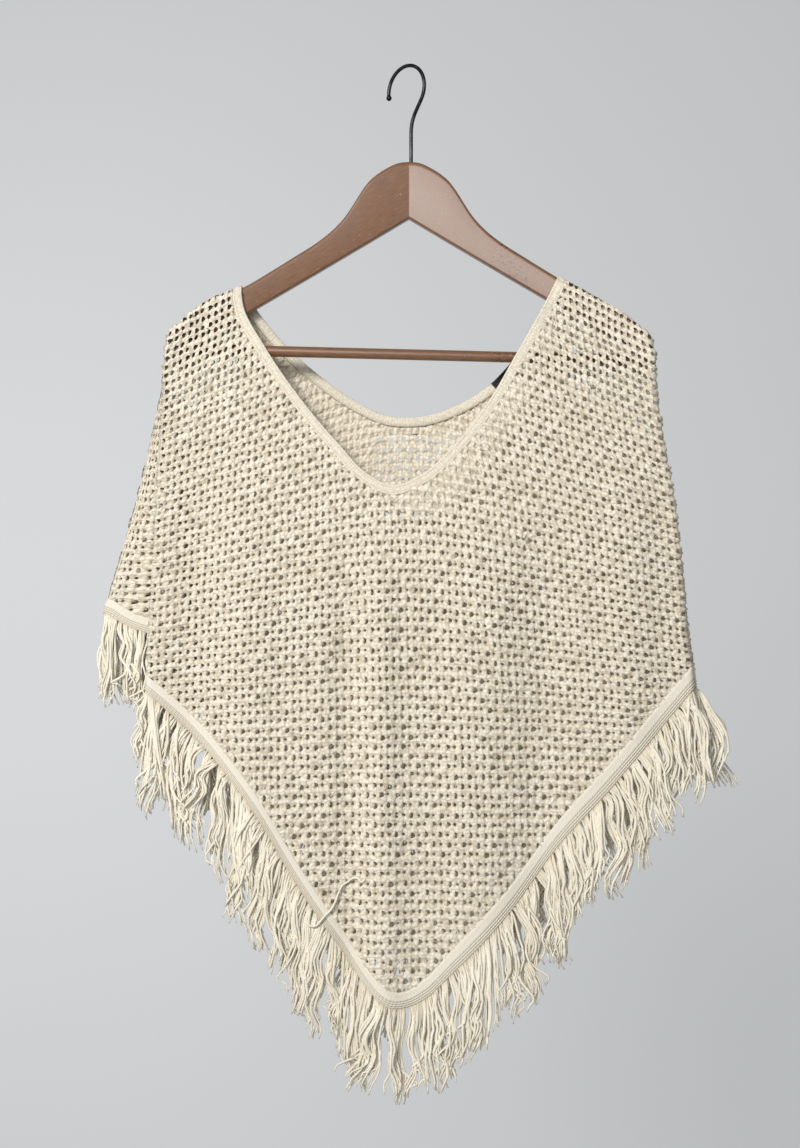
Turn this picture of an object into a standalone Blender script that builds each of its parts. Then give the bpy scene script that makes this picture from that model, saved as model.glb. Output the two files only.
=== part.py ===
"""Knitted poncho with a V neck, a pointed hem and a yarn fringe, hanging on a contoured wooden hanger.

Frame: metres, +Z up, the front of the garment faces -Y. The origin is the inside top of the hook's
crook, where a rod bears. The tables and named sizes below are in millimetres, and MM turns them
into metres when a mesh or a curve is made.

The cloth is two sheets, front and back. Both start at a ridge along the hanger's arms, meet again
at the side lines and end in a hem band with a fringe. A sheet is a grid of columns that run from
its upper edge to its hem. A column is a plan position (x, y) as a function of height.
"""

import math

import bpy
import numpy as np

MM = 0.001

# Cloth
CLOTH = 2.4  # thickness of the knitted panels
BAND = 3.0  # thickness of the hem bands
NECK_THICK = 2.4  # thickness of the neckband
FRINGE = 4.0  # depth of the curtain of yarn that the fringe fills
SEAM = 0.3  # gap between pieces that are sewn together
SLANT_SEAM = 1.0  # up and down, this leaves SEAM across the slanted hem
TURN_SEAM = 2.6  # the same, round the tight turns of the pleat and of the side folds
CURVED_SEAM = 0.9  # between the sheets' middles at the side lines, where their edges curve
NECK_SEAM = 1.2  # between the neckband and a panel, which both bend over the arms
RIDGE_SEAM = 0.5
NECK_BAND = 9.0  # width of the neckband
LABEL = 0.6  # thickness of the label
LABEL_WIDTH = 9.0

# Hanger
WIRE = 3.5  # diameter of the hook's wire
BALL = 5.3  # diameter of the bead on its end
CROOK = 22.5  # radius of the crook, to the middle of the wire
CROOK_TURN = math.radians(48)  # the crook's plane is turned this far from the hanger's
STEM = (4.5, -4.0)  # where the hook's straight part stands
CROOK_OFFSET = 6.0  # the crook's centre lies this far behind the straight part
STEM_TOP, STEM_END = -64.0, -90.4
CENTRE = 2.5  # x of the joint between the two arms
ARM_LENGTH = 218.0
ARM_THICK = 12.0
ARM_ROUND = 5.5
ARM_SWEEP = 35.0  # the tips lie this far in front of the middle
BAR = 10.0  # diameter of the trouser bar
BAR_END = 202.2
BAR_LEFT_Z, BAR_RIGHT_Z = -271.4, -281.4
BAR_Y = -36.0

OVER_ARM = 9.3  # radius of the cloth's bend over an arm
FOLD = 4.5  # radius of the front sheet's side folds
BACK_FOLD = 5.85  # radius of the back sheet's side folds
HANG_FROM, HANG_TO = 8.0, 72.0  # below the ridge, the cloth leaves the arm between these depths
OVER_SLOPE = 0.88  # share of a step along an arm that is level
OVER_TO_SQUARE = (6.0, 45.0)  # depths below the ridge between which the neckband turns
HALF_SPAN = 230.0
TIP_Z = -262.0  # the side pleats start here, just below the arms' tips

# Upper and lower edge of an arm at a distance from the middle joint
ARM = [
    # from_joint, top, bottom
    (0.15, -90.9, -144.5),
    (10.0, -92.3, -150.6),
    (20.0, -97.0, -156.8),
    (30.0, -103.5, -163.0),
    (38.0, -110.8, -168.0),
    (45.0, -120.5, -172.3),
    (52.0, -132.0, -176.6),
    (60.0, -144.2, -181.6),
    (70.0, -155.5, -187.8),
    (85.0, -168.3, -197.1),
    (105.0, -181.8, -209.5),
    (130.0, -198.3, -225.0),
    (150.0, -211.0, -237.4),
    (166.0, -219.4, -247.3),
    (184.0, -230.6, -258.5),
    (202.5, -243.8, -264.0),
    (203.0, -244.2, -288.0),
    (214.0, -253.8, -288.0),
    (ARM_LENGTH, -263.0, -280.0),
]

# Height of the cloth's ridge over the arms
RIDGE = [
    # x, z
    (-221.5, -262.0),
    (-217.0, -254.5),
    (-209.0, -246.5),
    (-201.0, -238.5),
    (-191.0, -230.0),
    (-181.0, -223.4),
    (-164.0, -216.2),
    (-153.0, -211.3),
    (-130.0, -195.0),
    (0.0, -88.0),
    (130.0, -193.0),
    (141.0, -201.9),
    (153.5, -208.9),
    (168.0, -217.2),
    (186.6, -228.7),
    (204.8, -241.7),
    (217.7, -252.4),
    (225.0, -261.0),
]

# Plan of the cloth at a height: x of the front sheet's left fold, of the pleat behind it, of the
# left side line, of the right fold and of the right side line, then y of the two hanging sheets
SECTIONS = [
    # z, fold_left, pleat, side_left, fold_right, side_right, front_side, front_mid, back_side, back_mid
    (-262, -219.3, -219.2, -219.4, 224.6, 224.8, -47.8, -44.0, -30.2, 2.0),
    (-276, -221.4, -219.8, -221.6, 227.5, 227.9, -47.8, -44.8, -28.5, 3.5),
    (-300, -222.6, -219.2, -224.4, 228.6, 229.6, -47.8, -46.0, -26.0, 5.0),
    (-333, -224.0, -217.0, -232.0, 232.2, 233.6, -47.8, -47.5, -21.5, 6.0),
    (-365, -226.4, -214.5, -239.6, 237.2, 239.0, -47.5, -48.5, -18.0, 7.0),
    (-411, -229.2, -211.0, -251.2, 245.6, 248.0, -47.5, -49.5, -15.0, 8.0),
    (-457, -232.0, -208.0, -264.4, 251.0, 254.5, -47.0, -50.5, -13.0, 9.0),
    (-521, -235.8, -204.0, -284.2, 256.6, 261.5, -46.5, -51.5, -12.0, 10.0),
    (-587, -238.8, -201.0, -304.0, 263.6, 269.5, -46.0, -52.0, -12.0, 10.0),
    (-700, -241.0, -199.0, -320.0, 270.0, 277.0, -46.0, -52.5, -12.0, 9.0),
    (-880, -241.0, -199.0, -330.0, 273.0, 280.0, -46.0, -52.5, -12.0, 8.0),
]

# Inner edge of the neckband, from the left shoulder to the right one, on each sheet
NECK_FRONT = [
    # x, z
    (-153.0, -211.3),
    (-150.5, -231.0),
    (-130.0, -270.0),
    (-97.0, -318.0),
    (-64.0, -357.5),
    (-32.0, -389.5),
    (-14.0, -397.5),
    (12.0, -388.5),
    (45.0, -359.0),
    (76.0, -319.0),
    (101.0, -276.0),
    (129.5, -225.0),
    (141.0, -201.9),
]
NECK_BACK = [
    # x, z
    (-153.0, -211.3),
    (-141.5, -229.5),
    (-113.0, -264.0),
    (-83.0, -290.5),
    (-49.5, -314.0),
    (-15.5, -329.0),
    (9.0, -330.0),
    (46.5, -319.5),
    (78.5, -300.0),
    (97.0, -281.0),
    (121.0, -246.0),
    (141.0, -201.9),
]

# Lower edge of the hem, the height of its band, and the fringe's outward lean and length
HEM_FRONT = [
    # x, z, band, lean, fringe
    (-240, -587, 16, -16, 88),
    (-218, -607, 18, -24, 92),
    (-174, -652, 19, -28, 92),
    (-138, -700, 21, -28, 94),
    (-102, -761, 22, -26, 94),
    (-59, -825, 21, -18, 92),
    (-38, -855, 20, -10, 90),
    (-16, -874.5, 17, -3, 86),
    (-4, -875.5, 15.5, 2, 84),
    (18, -867, 20, 8, 88),
    (41, -845, 23, 14, 92),
    (97, -786, 25, 22, 92),
    (142, -726, 24, 24, 92),
    (187, -677, 25, 26, 90),
    (228, -628, 24, 32, 88),
    (264, -585, 22, 40, 86),
]
HEM_PLEAT = [
    # way round the pleat from the fold to the side line, z, band, lean, fringe
    (0.0, -587, 16, -16, 88),
    (0.2, -570, 15.5, -3, 86),
    (0.36, -552, 15, 0, 84),
    (0.56, -549, 15, 0, 84),
    (0.76, -532, 14.5, -4, 84),
    (0.9, -517.5, 14, -7, 84),
    (1.0, -516, 14, -8, 84),
]
HEM_BACK = [
    # x, z, band, lean, fringe
    (-283, -515, 14, -8, 84),
    (-240, -534, 15, -10, 84),
    (-200, -588, 16, -18, 86),
    (-150, -654, 18, -20, 86),
    (-102, -726, 19, -18, 86),
    (-59, -790, 19, -12, 86),
    (-10, -846, 16, 0, 84),
    (41, -812, 20, 10, 86),
    (97, -752, 22, 16, 86),
    (150, -694, 22, 18, 86),
    (200, -640, 22, 22, 84),
    (266, -587, 20, 40, 84),
]
HEM_WRAP = [
    # way round the right side, z, band, lean, fringe
    (0.0, -585, 22, 40, 86),
    (1.0, -587, 20, 40, 84),
]

# Soft ridges (towards the front) and troughs of the hanging front sheet
FOLDS = [
    # x_top, z_top, x_bottom, z_bottom, half_width, towards_front
    (-24, -450, -20, -900, 17, 7.0),
    (-55, -480, -52, -880, 15, -6.0),
    (-196, -400, -196, -640, 26, -6.0),
    (-150, -420, -140, -700, 24, 4.0),
    (70, -430, 62, -860, 34, 5.0),
    (128, -420, 118, -800, 26, -5.0),
    (205, -380, 205, -620, 22, 4.0),
]
BACK_FOLDS = [
    # x_top, z_top, x_bottom, z_bottom, half_width, towards_front
    (-130, -420, -150, -700, 26, -6.0),
    (-40, -430, -30, -840, 28, 5.0),
    (60, -430, 70, -780, 26, -6.0),
    (165, -400, 185, -660, 24, 5.0),
]

# Sampling of the grids
BEND_STEPS = 6
LOOSE_DEPTHS = (15.0, 25.0, 42.0)
LONG_ROWS = 8
NECK_ENDS = (0.0, 1.1, 3.9, 8.0, 15.0)  # stations near each shoulder, where the edge rounds the arm
NECK_COLUMNS = 15
BACK_NECK_COLUMNS = 11
FRONT_LEFT = (0.0, 1.2, 2.6, 4.6, 14.0, 30.0, 46.0)
FRONT_RIGHT = (60.0, 44.0, 28.0, 14.0, 4.6, 2.6, 1.2, 0.0)
BACK_LEFT = (0.0, 0.15, 1.5, 3.4, 6.0, 18.0, 38.0)
BACK_RIGHT = (56.0, 40.0, 20.0, 6.0, 3.4, 1.5, 0.15, 0.0)
PLEAT_SHARES = (1.0, 0.985, 0.95, 0.86, 0.75, 0.62, 0.55, 0.5, 0.45, 0.38, 0.25, 0.14, 0.06)
WRAP_SHARES = (0.25, 0.5, 0.75, 0.95, 1.0)

FINISHES = {
    # name: (colour, roughness, metallic)
    "knit": ((0.72, 0.66, 0.54, 1), 0.9, 0.0),
    "band": ((0.74, 0.69, 0.58, 1), 0.9, 0.0),
    "yarn": ((0.76, 0.70, 0.56, 1), 0.9, 0.0),
    "label": ((0.02, 0.02, 0.02, 1), 0.7, 0.0),
    "wood": ((0.25, 0.13, 0.08, 1), 0.4, 0.0),
    "metal": ((0.05, 0.05, 0.05, 1), 0.3, 1.0),
}


def table(rows):
    """A smooth function through the rows of a table: first column in, the other columns out."""
    rows = np.array(sorted(rows), float)
    keys, values = rows[:, 0], rows[:, 1:]
    slopes = np.gradient(values, keys, axis=0)

    def at(key):
        key = min(max(key, keys[0]), keys[-1])
        i = min(max(int(np.searchsorted(keys, key)) - 1, 0), len(keys) - 2)
        step = keys[i + 1] - keys[i]
        s = (key - keys[i]) / step
        out = (
            values[i] * (1 + 2 * s) * (1 - s) ** 2
            + values[i + 1] * s * s * (3 - 2 * s)
            + slopes[i] * step * s * (1 - s) ** 2
            - slopes[i + 1] * step * s * s * (1 - s)
        )
        return out if len(out) > 1 else float(out[0])

    return at


ridge = table(RIDGE)
section = table(SECTIONS)
hem_front, hem_pleat = table(HEM_FRONT), table(HEM_PLEAT)
hem_back, hem_wrap = table(HEM_BACK), table(HEM_WRAP)


def mix(a, b, share):
    return a + (b - a) * share


def ease(value, low, high):
    s = min(max((value - low) / (high - low), 0.0), 1.0)
    return s * s * (3 - 2 * s)


def arm_y(x):
    """The middle of the arm's thickness."""
    t = min(abs(x - CENTRE) / ARM_LENGTH, 1.02)
    return STEM[1] - ARM_SWEEP * (0.6 * t + 0.4 * t * t)


def bend(depth):
    """How far the cloth has come round the arm at this depth below the ridge, from 0 to 1."""
    left = 1 - min(max(depth, 0.0), OVER_ARM) / OVER_ARM
    return math.sqrt(1 - left * left)


def turned(distance, radius):
    """How far a side fold has turned at this distance from its edge, from 1 down to 0."""
    left = 1 - min(max(distance, 0.0), radius) / radius
    return 1 - math.sqrt(max(1 - left * left, 0.0))


def folds(rows, x, z):
    total = 0.0
    for x_top, z_top, x_bottom, z_bottom, half_width, towards_front in rows:
        along = (z - z_top) / (z_bottom - z_top)
        middle = mix(x_top, x_bottom, along)
        fade = ease(along, -0.15, 0.3) * (1 - ease(along, 0.98, 1.2))
        total -= towards_front * fade * math.exp(-(((x - middle) / half_width) ** 2))
    return total


def sheet_y(x, z, side):
    """y of the front (side -1) or back (side 1) sheet, without its side folds."""
    depth = ridge(x) - z
    at = section(z)
    bow = 1 - min(abs(x) / HALF_SPAN, 1.0) ** 2
    if side < 0:
        hanging = mix(at[5], at[6], bow) + folds(FOLDS, x, z)
    else:
        hanging = mix(at[7], at[8], bow) + folds(BACK_FOLDS, x, z)
    over = arm_y(x) + side * OVER_ARM
    loose = mix(over, hanging, ease(depth, HANG_FROM, HANG_TO))
    top = arm_y(x) + side * RIDGE_SEAM / 2
    return mix(top, loose, bend(depth))


def front_place(t):
    """Plan position at a height, a share t of the way from the left fold to the right one."""

    def place(z):
        at = section(z)
        x = mix(at[0], at[3], t)
        near = min(x - at[0], at[3] - x)
        around = bend(ridge(x) - z)
        return x, sheet_y(x, z, -1) + FOLD * turned(near, FOLD) * around

    return place


def back_place(t):
    def place(z):
        at = section(z)
        x = mix(at[2], at[4], t)
        near = min(x - at[2], at[4] - x)
        around = bend(ridge(x) - z)
        return x, sheet_y(x, z, 1) - BACK_FOLD * turned(near, BACK_FOLD) * around

    return place


def b_spline(points, share):
    """A point on the quadratic B-spline that starts and ends on this polygon's ends."""
    spans = len(points) - 2
    at = min(max(share, 0.0), 1.0) * spans
    i = min(int(at), spans - 1)
    s = at - i
    a, b, c = (np.array(p, float) for p in points[i : i + 3])
    start = a if i == 0 else (a + b) / 2
    end = c if i == spans - 1 else (b + c) / 2
    return start * (1 - s) ** 2 + b * 2 * s * (1 - s) + end * s * s


def pleat_place(share):
    """Plan position round the left pleat: from the front fold inwards, and out to the side line."""

    def place(z):
        at = section(z)
        fold, side = front_place(0.0)(z), back_place(0.0)(z)
        seam_y = side[1] - CURVED_SEAM
        back, out = mix(fold[1], seam_y, 0.32), mix(fold[1], seam_y, 0.72)
        polygon = [fold, (at[0], back), (at[1], back), (at[1], out), (at[2], out), (at[2], seam_y)]
        return b_spline(polygon, share)

    return place


def wrap_place(share):
    """Plan position round the right side, from the front fold to the side line."""

    def place(z):
        fold, side = front_place(1.0)(z), back_place(1.0)(z)
        seam_y = side[1] - CURVED_SEAM
        polygon = [
            fold,
            (fold[0], mix(fold[1], seam_y, 0.4)),
            (side[0], mix(fold[1], seam_y, 0.6)),
            (side[0], seam_y),
        ]
        return b_spline(polygon, share)

    return place


def settle(place, height_of, start):
    """The height where a column crosses a line that is given as z over x."""
    z = start
    for _ in range(8):
        z = height_of(place(z)[0])
    return z


class Column:
    """A column of a sheet: its plan position at a height, its upper end and its hem."""

    def __init__(self, place, top, hem, gap=SLANT_SEAM):
        self.place, self.top, self.gap = place, top, gap
        self.hem, self.band, self.lean, self.fringe = hem

    def point(self, z):
        x, y = self.place(z)
        return np.array([x, y, z])


def sampled(rows, count):
    """Points along the smooth line through (x, z) rows, with their tangents: even steps between
    the stations near its ends."""
    rows = np.array(rows, float)
    steps = np.hypot(*np.diff(rows, axis=0).T)
    ways = np.concatenate([[0.0], np.cumsum(steps)])
    line = table([(way, x, z) for way, (x, z) in zip(ways, rows)])
    ends = np.array(NECK_ENDS)
    middle = np.linspace(ends[-1], ways[-1] - ends[-1], count)
    places = np.concatenate([ends[:-1], middle, (ways[-1] - ends[:-1])[::-1]])
    points = np.array([line(way) for way in places])
    ahead = np.array([line(way + 0.5) - line(way - 0.5) for way in places])
    return points, ahead / np.linalg.norm(ahead, axis=1)[:, None]


def neck_edges(rows, count):
    """Inner and outer edge of the neckband on one sheet, as (x, z). Both ends lie on the ridge.

    Over the arm the band runs level with the ridge, and below it square to the edge."""
    inner, ahead = sampled(rows, count)
    outer = []
    for (x, z), (ahead_x, ahead_z) in zip(inner, ahead):
        depth = max(ridge(x) - z, 0.0)
        over_x = x + math.copysign(NECK_BAND * OVER_SLOPE, x)
        over = np.array([over_x, ridge(over_x) - depth])
        square = np.array([x + NECK_BAND * ahead_z, z - NECK_BAND * ahead_x])
        outer.append(mix(over, square, ease(depth, *OVER_TO_SQUARE)))
    return inner, np.array(outer)


def front_columns(outer):
    columns = []
    for share in PLEAT_SHARES:
        columns.append(Column(pleat_place(share), TIP_Z, hem_pleat(share), TURN_SEAM))
    left, right = section(TIP_Z)[0], section(TIP_Z)[3]
    shares = [inset / (right - left) for inset in FRONT_LEFT]
    tops = [settle(front_place(t), ridge, TIP_Z) for t in shares]
    for x, z in outer:
        at = section(z)
        shares.append((x - at[0]) / (at[3] - at[0]))
        tops.append(z)
    for inset in FRONT_RIGHT:
        t = 1 - inset / (right - left)
        shares.append(t)
        tops.append(settle(front_place(t), ridge, TIP_Z))
    for t, top in zip(shares, tops):
        place = front_place(t)
        z = settle(place, lambda x: hem_front(x)[0], -700.0)
        gap = TURN_SEAM if min(t, 1 - t) * (right - left) < 6 else SLANT_SEAM
        columns.append(Column(place, top, hem_front(place(z)[0]), gap))
    for share in WRAP_SHARES:
        columns.append(Column(wrap_place(share), TIP_Z, hem_wrap(share), TURN_SEAM))
    return columns


def back_columns(outer):
    left, right = section(TIP_Z)[2], section(TIP_Z)[4]
    shares = [inset / (right - left) for inset in BACK_LEFT]
    tops = [settle(back_place(t), ridge, TIP_Z) for t in shares]
    for x, z in outer:
        at = section(z)
        shares.append((x - at[2]) / (at[4] - at[2]))
        tops.append(z)
    for inset in BACK_RIGHT:
        t = 1 - inset / (right - left)
        shares.append(t)
        tops.append(settle(back_place(t), ridge, TIP_Z))
    columns = []
    for t, top in zip(shares, tops):
        place = back_place(t)
        z = settle(place, lambda x: hem_back(x)[0], -600.0)
        columns.append(Column(place, top, hem_back(place(z)[0])))
    return columns


def panel_rows(column):
    """Heights down a column: close together over the arm's bend, then even steps to the band."""
    bends = [
        OVER_ARM * (1 - math.cos(math.radians(90) * step / BEND_STEPS))
        for step in range(BEND_STEPS + 1)
    ]
    depths = bends + list(LOOSE_DEPTHS)
    bottom = column.hem + column.band + column.gap
    heights = [column.top - depth for depth in depths]
    last = heights[-1]
    return heights + [mix(last, bottom, row / LONG_ROWS) for row in range(1, LONG_ROWS + 1)]


def clear_scene():
    for obj in list(bpy.data.objects):
        bpy.data.objects.remove(obj)


def finish(name):
    material = bpy.data.materials.get(name)
    if material is None:
        colour, roughness, metallic = FINISHES[name]
        material = bpy.data.materials.new(name)
        material.use_nodes = True
        shader = material.node_tree.nodes["Principled BSDF"]
        shader.inputs["Base Color"].default_value = colour
        shader.inputs["Roughness"].default_value = roughness
        shader.inputs["Metallic"].default_value = metallic
        material.diffuse_color = colour
    return material


def add_object(name, data, material, collection):
    obj = bpy.data.objects.new(name, data)
    data.materials.append(finish(material))
    collection.objects.link(obj)
    return obj


def grid_mesh(name, grid, closed=False):
    """A surface through a grid of points, grid[column][row], in millimetres."""
    columns, rows = len(grid), len(grid[0])
    points = [tuple(MM * float(c) for c in point) for column in grid for point in column]
    faces = []
    for i in range(columns if closed else columns - 1):
        j = (i + 1) % columns
        for row in range(rows - 1):
            faces.append(
                (i * rows + row, i * rows + row + 1, j * rows + row + 1, j * rows + row)
            )
    mesh = bpy.data.meshes.new(name)
    mesh.from_pydata(points, [], faces)
    mesh.update()
    mesh.shade_smooth()
    return mesh


def add_sheet(name, grid, thickness, material, collection, closed=False):
    obj = add_object(name, grid_mesh(name, grid, closed), material, collection)
    wall = obj.modifiers.new("wall", "SOLIDIFY")
    wall.thickness = thickness * MM
    wall.offset = 0.0
    return obj


def add_panel(name, columns, collection):
    grid = [[column.point(z) for z in panel_rows(column)] for column in columns]
    return add_sheet(name, grid, CLOTH, "knit", collection)


def add_hem_band(name, columns, collection):
    grid = []
    for column in columns:
        heights = [column.hem + column.band, column.hem + column.band / 2, column.hem]
        grid.append([column.point(z) for z in heights])
    return add_sheet(name, grid, BAND, "band", collection)


def fringe_points(column):
    """The curtain of yarn under a column: it leaves the hem, leans outwards and hangs."""
    start = column.point(column.hem)
    points = []
    for share in (0.0, 0.04, 0.25, 0.55, 1.0):
        leaned = math.sin(math.radians(90) * max(share - 0.04, 0.0) / 0.96)
        drop = column.gap + column.fringe * share
        points.append(start + np.array([column.lean * leaned, 0.0, -drop]))
    return points


def add_fringe(name, columns, collection):
    grid = [fringe_points(column) for column in columns]
    return add_sheet(name, grid, FRINGE, "yarn", collection)


def neck_point(x, z, side):
    return np.array([x, sheet_y(x, z, side), z])


def band_strip(inner, outer, side):
    """Points across the neckband at each of its stations on one sheet, from inner to outer edge."""
    strip = []
    for (xi, zi), (xo, zo) in zip(inner, outer):
        near_outer = 1 - NECK_SEAM / NECK_BAND
        shares = (0.0, 0.5, near_outer)
        strip.append([neck_point(mix(xi, xo, s), mix(zi, zo, s), side) for s in shares])
    return strip


def add_neckband(front, back, collection):
    """A closed ring: along the front from left to right, and back along the back."""
    ring = band_strip(*front, -1)[1:-1] + band_strip(*back, 1)[::-1]
    return add_sheet("neckband", ring, NECK_THICK, "band", collection, closed=True)


def add_label(back, collection):
    """A bare strip on the inside of the back neckband, near the right shoulder."""
    inner, outer = back
    line = table([(x, z) for x, z in inner])
    drop = table([(x, zo - z, xo - x) for (x, z), (xo, zo) in zip(inner, outer)])
    out = NECK_THICK / 2 + SEAM + LABEL / 2
    grid = []
    for x in np.linspace(80.0, 113.0, 5):
        down, aside = drop(x)
        column = []
        for share in (0.03, 0.5, 0.97 * LABEL_WIDTH / NECK_BAND):
            point = neck_point(x + aside * share, line(x) + down * share, 1)
            column.append(point + np.array([0.0, -out, 0.0]))
        grid.append(column)
    return add_sheet("neck_label", grid, LABEL, "label", collection)


def arm_ring(from_joint, top, bottom, side):
    """A rounded rectangle across an arm."""
    x = CENTRE + side * from_joint
    y = arm_y(x)
    half = ARM_THICK / 2
    reach = min(ARM_ROUND, (top - bottom) / 2 - 0.2)
    ring = []
    for quarter, (cy, cz) in enumerate(((1, 1), (-1, 1), (-1, -1), (1, -1))):
        middle_y = y + cy * (half - reach)
        middle_z = (top - reach) if cz > 0 else (bottom + reach)
        for step in range(4):
            angle = math.radians(90 * quarter + 30 * step)
            ring.append(
                (x, middle_y + reach * math.cos(angle), middle_z + reach * math.sin(angle))
            )
    return ring


def add_arm(name, side, collection):
    rings = [arm_ring(from_joint, top, bottom, side) for from_joint, top, bottom in ARM]
    count = len(rings[0])
    points = [tuple(MM * c for c in point) for ring in rings for point in ring]
    faces = []
    for i in range(len(rings) - 1):
        for k in range(count):
            n = (k + 1) % count
            faces.append((i * count + k, i * count + n, (i + 1) * count + n, (i + 1) * count + k))
    faces.append(tuple(range(count))[::-1])
    faces.append(tuple((len(rings) - 1) * count + k for k in range(count)))
    if side < 0:
        faces = [face[::-1] for face in faces]
    mesh = bpy.data.meshes.new(name)
    mesh.from_pydata(points, [], faces)
    mesh.update()
    mesh.shade_smooth()
    mesh.set_sharp_from_angle(angle=math.radians(40))
    return add_object(name, mesh, "wood", collection)


def add_tube(name, points, radius, material, collection, radii=None, sides=3):
    curve = bpy.data.curves.new(name, "CURVE")
    curve.dimensions = "3D"
    curve.bevel_depth = radius * MM
    curve.bevel_resolution = sides
    curve.use_fill_caps = True
    spline = curve.splines.new("POLY")
    spline.points.add(len(points) - 1)
    for i, (point, target) in enumerate(zip(points, spline.points)):
        target.co = (*(MM * float(c) for c in point), 1.0)
        target.radius = radii[i] if radii else 1.0
    return add_object(name, curve, material, collection)


def hook_point(forward, z):
    """A point in the crook's plane: forward is the distance in front of the stem."""
    return (
        STEM[0] + forward * math.sin(CROOK_TURN),
        STEM[1] - forward * math.cos(CROOK_TURN),
        z,
    )


def add_hook(collection):
    """Up the stem, round the crook over the rod, and down behind it to a bead."""
    centre_z = WIRE / 2 - CROOK
    points = [hook_point(0.0, STEM_END), hook_point(0.0, mix(STEM_END, STEM_TOP, 0.5))]
    leave = math.radians(-32)
    start = np.array([0.0, STEM_TOP])
    end = np.array([CROOK * math.cos(leave) - CROOK_OFFSET, centre_z + CROOK * math.sin(leave)])
    way_in = start + np.array([0.0, 15.0])
    way_out = end - 15.0 * np.array([-math.sin(leave), math.cos(leave)])
    for step in range(8):
        s = step / 8
        forward, z = (
            start * (1 - s) ** 3
            + way_in * 3 * s * (1 - s) ** 2
            + way_out * 3 * s * s * (1 - s)
            + end * s**3
        )
        points.append(hook_point(forward, z))
    bead_turn = math.degrees(BALL / CROOK) / 2
    last = 189.0
    for step in range(20):
        angle = math.radians(mix(math.degrees(leave), last - bead_turn, step / 19))
        forward = CROOK * math.cos(angle) - CROOK_OFFSET
        points.append(hook_point(forward, centre_z + CROOK * math.sin(angle)))
    radii = [1.0] * len(points)
    for step in range(1, 8):
        along = step / 8
        angle = math.radians(last + mix(-bead_turn, bead_turn, along))
        forward = CROOK * math.cos(angle) - CROOK_OFFSET
        points.append(hook_point(forward, centre_z + CROOK * math.sin(angle)))
        radii.append(BALL / WIRE * math.sqrt(1 - (2 * along - 1) ** 2))
    return add_tube("hanger_hook", points, WIRE / 2, "metal", collection, radii)


def add_bar(collection):
    ends = [
        (CENTRE - BAR_END, BAR_Y, BAR_LEFT_Z),
        (CENTRE + BAR_END, BAR_Y, BAR_RIGHT_Z),
    ]
    return add_tube("hanger_bar", ends, BAR / 2, "wood", collection, sides=4)


def main():
    clear_scene()
    collection = bpy.data.collections.new("poncho_on_hanger")
    bpy.context.scene.collection.children.link(collection)

    neck_front = neck_edges(NECK_FRONT, NECK_COLUMNS)
    neck_back = neck_edges(NECK_BACK, BACK_NECK_COLUMNS)
    front = front_columns(neck_front[1])
    back = back_columns(neck_back[1])

    add_panel("front_panel", front, collection)
    add_panel("back_panel", back, collection)
    add_neckband(neck_front, neck_back, collection)
    add_hem_band("hem_band_front", front, collection)
    add_hem_band("hem_band_back", back, collection)
    add_fringe("fringe_front", front, collection)
    add_fringe("fringe_back", back, collection)
    add_label(neck_back, collection)

    add_arm("hanger_arm_left", -1, collection)
    add_arm("hanger_arm_right", 1, collection)
    add_bar(collection)
    add_hook(collection)


main()
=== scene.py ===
"""Looks of the knitted poncho on its wooden hanger.

Every length in the tables and named sizes is in millimetres in the part's own frame, and MM turns
it into metres when a mesh is made. The cloth's surface is the part's: the same tables and the same
functions of a place on a sheet, worked on whole arrays here. On it the openwork knit is laid as a
thin relief with real holes, the bands as ribbed strips, and the fringe as strands of yarn.
"""

import math

import bmesh
import bpy
import numpy as np
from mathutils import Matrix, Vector


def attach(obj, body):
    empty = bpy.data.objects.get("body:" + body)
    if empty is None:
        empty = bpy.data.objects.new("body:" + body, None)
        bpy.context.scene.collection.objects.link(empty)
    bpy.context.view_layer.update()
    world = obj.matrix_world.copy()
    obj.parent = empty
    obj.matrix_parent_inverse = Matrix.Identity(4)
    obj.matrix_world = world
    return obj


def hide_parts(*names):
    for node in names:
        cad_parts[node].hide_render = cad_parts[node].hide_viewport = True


MM = 0.001
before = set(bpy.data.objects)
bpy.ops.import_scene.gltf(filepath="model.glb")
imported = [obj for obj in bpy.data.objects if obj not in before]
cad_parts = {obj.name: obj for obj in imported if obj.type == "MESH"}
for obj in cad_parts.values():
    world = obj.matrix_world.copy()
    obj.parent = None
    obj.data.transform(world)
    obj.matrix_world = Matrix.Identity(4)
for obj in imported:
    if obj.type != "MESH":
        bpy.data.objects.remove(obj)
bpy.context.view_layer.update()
random = np.random.default_rng(11)

# ---- the part's sizes and tables

CROOK = 22.5  # radius of the crook, to the middle of the wire
CROOK_TURN = math.radians(48)
CROOK_OFFSET = 6.0
WIRE, BALL = 3.5, 5.3
STEM = (4.5, -4.0)
STEM_TOP, STEM_END = -64.0, -90.4
CENTRE = 2.5
ARM_LENGTH = 218.0
ARM_THICK = 12.0
ARM_SWEEP = 35.0
BAR = 10.0  # diameter of the trouser bar
BAR_END = 202.2
BAR_LEFT_Z, BAR_RIGHT_Z = -271.4, -281.4
BAR_Y = -36.0
OVER_ARM = 9.3  # radius of the cloth's bend over an arm
FOLD, BACK_FOLD = 4.5, 5.85  # radius of each sheet's side folds
HANG_FROM, HANG_TO = 8.0, 72.0
OVER_SLOPE = 0.88
OVER_TO_SQUARE = (6.0, 45.0)
HALF_SPAN = 230.0
TIP_Z = -262.0
RIDGE_SEAM = 0.5
SIDE_SEAM = 0.9
NECK_BAND = 9.0
LABEL_OUT, LABEL = 1.8, 0.6  # how far inside the neckband's middle the label lies; its thickness

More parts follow.
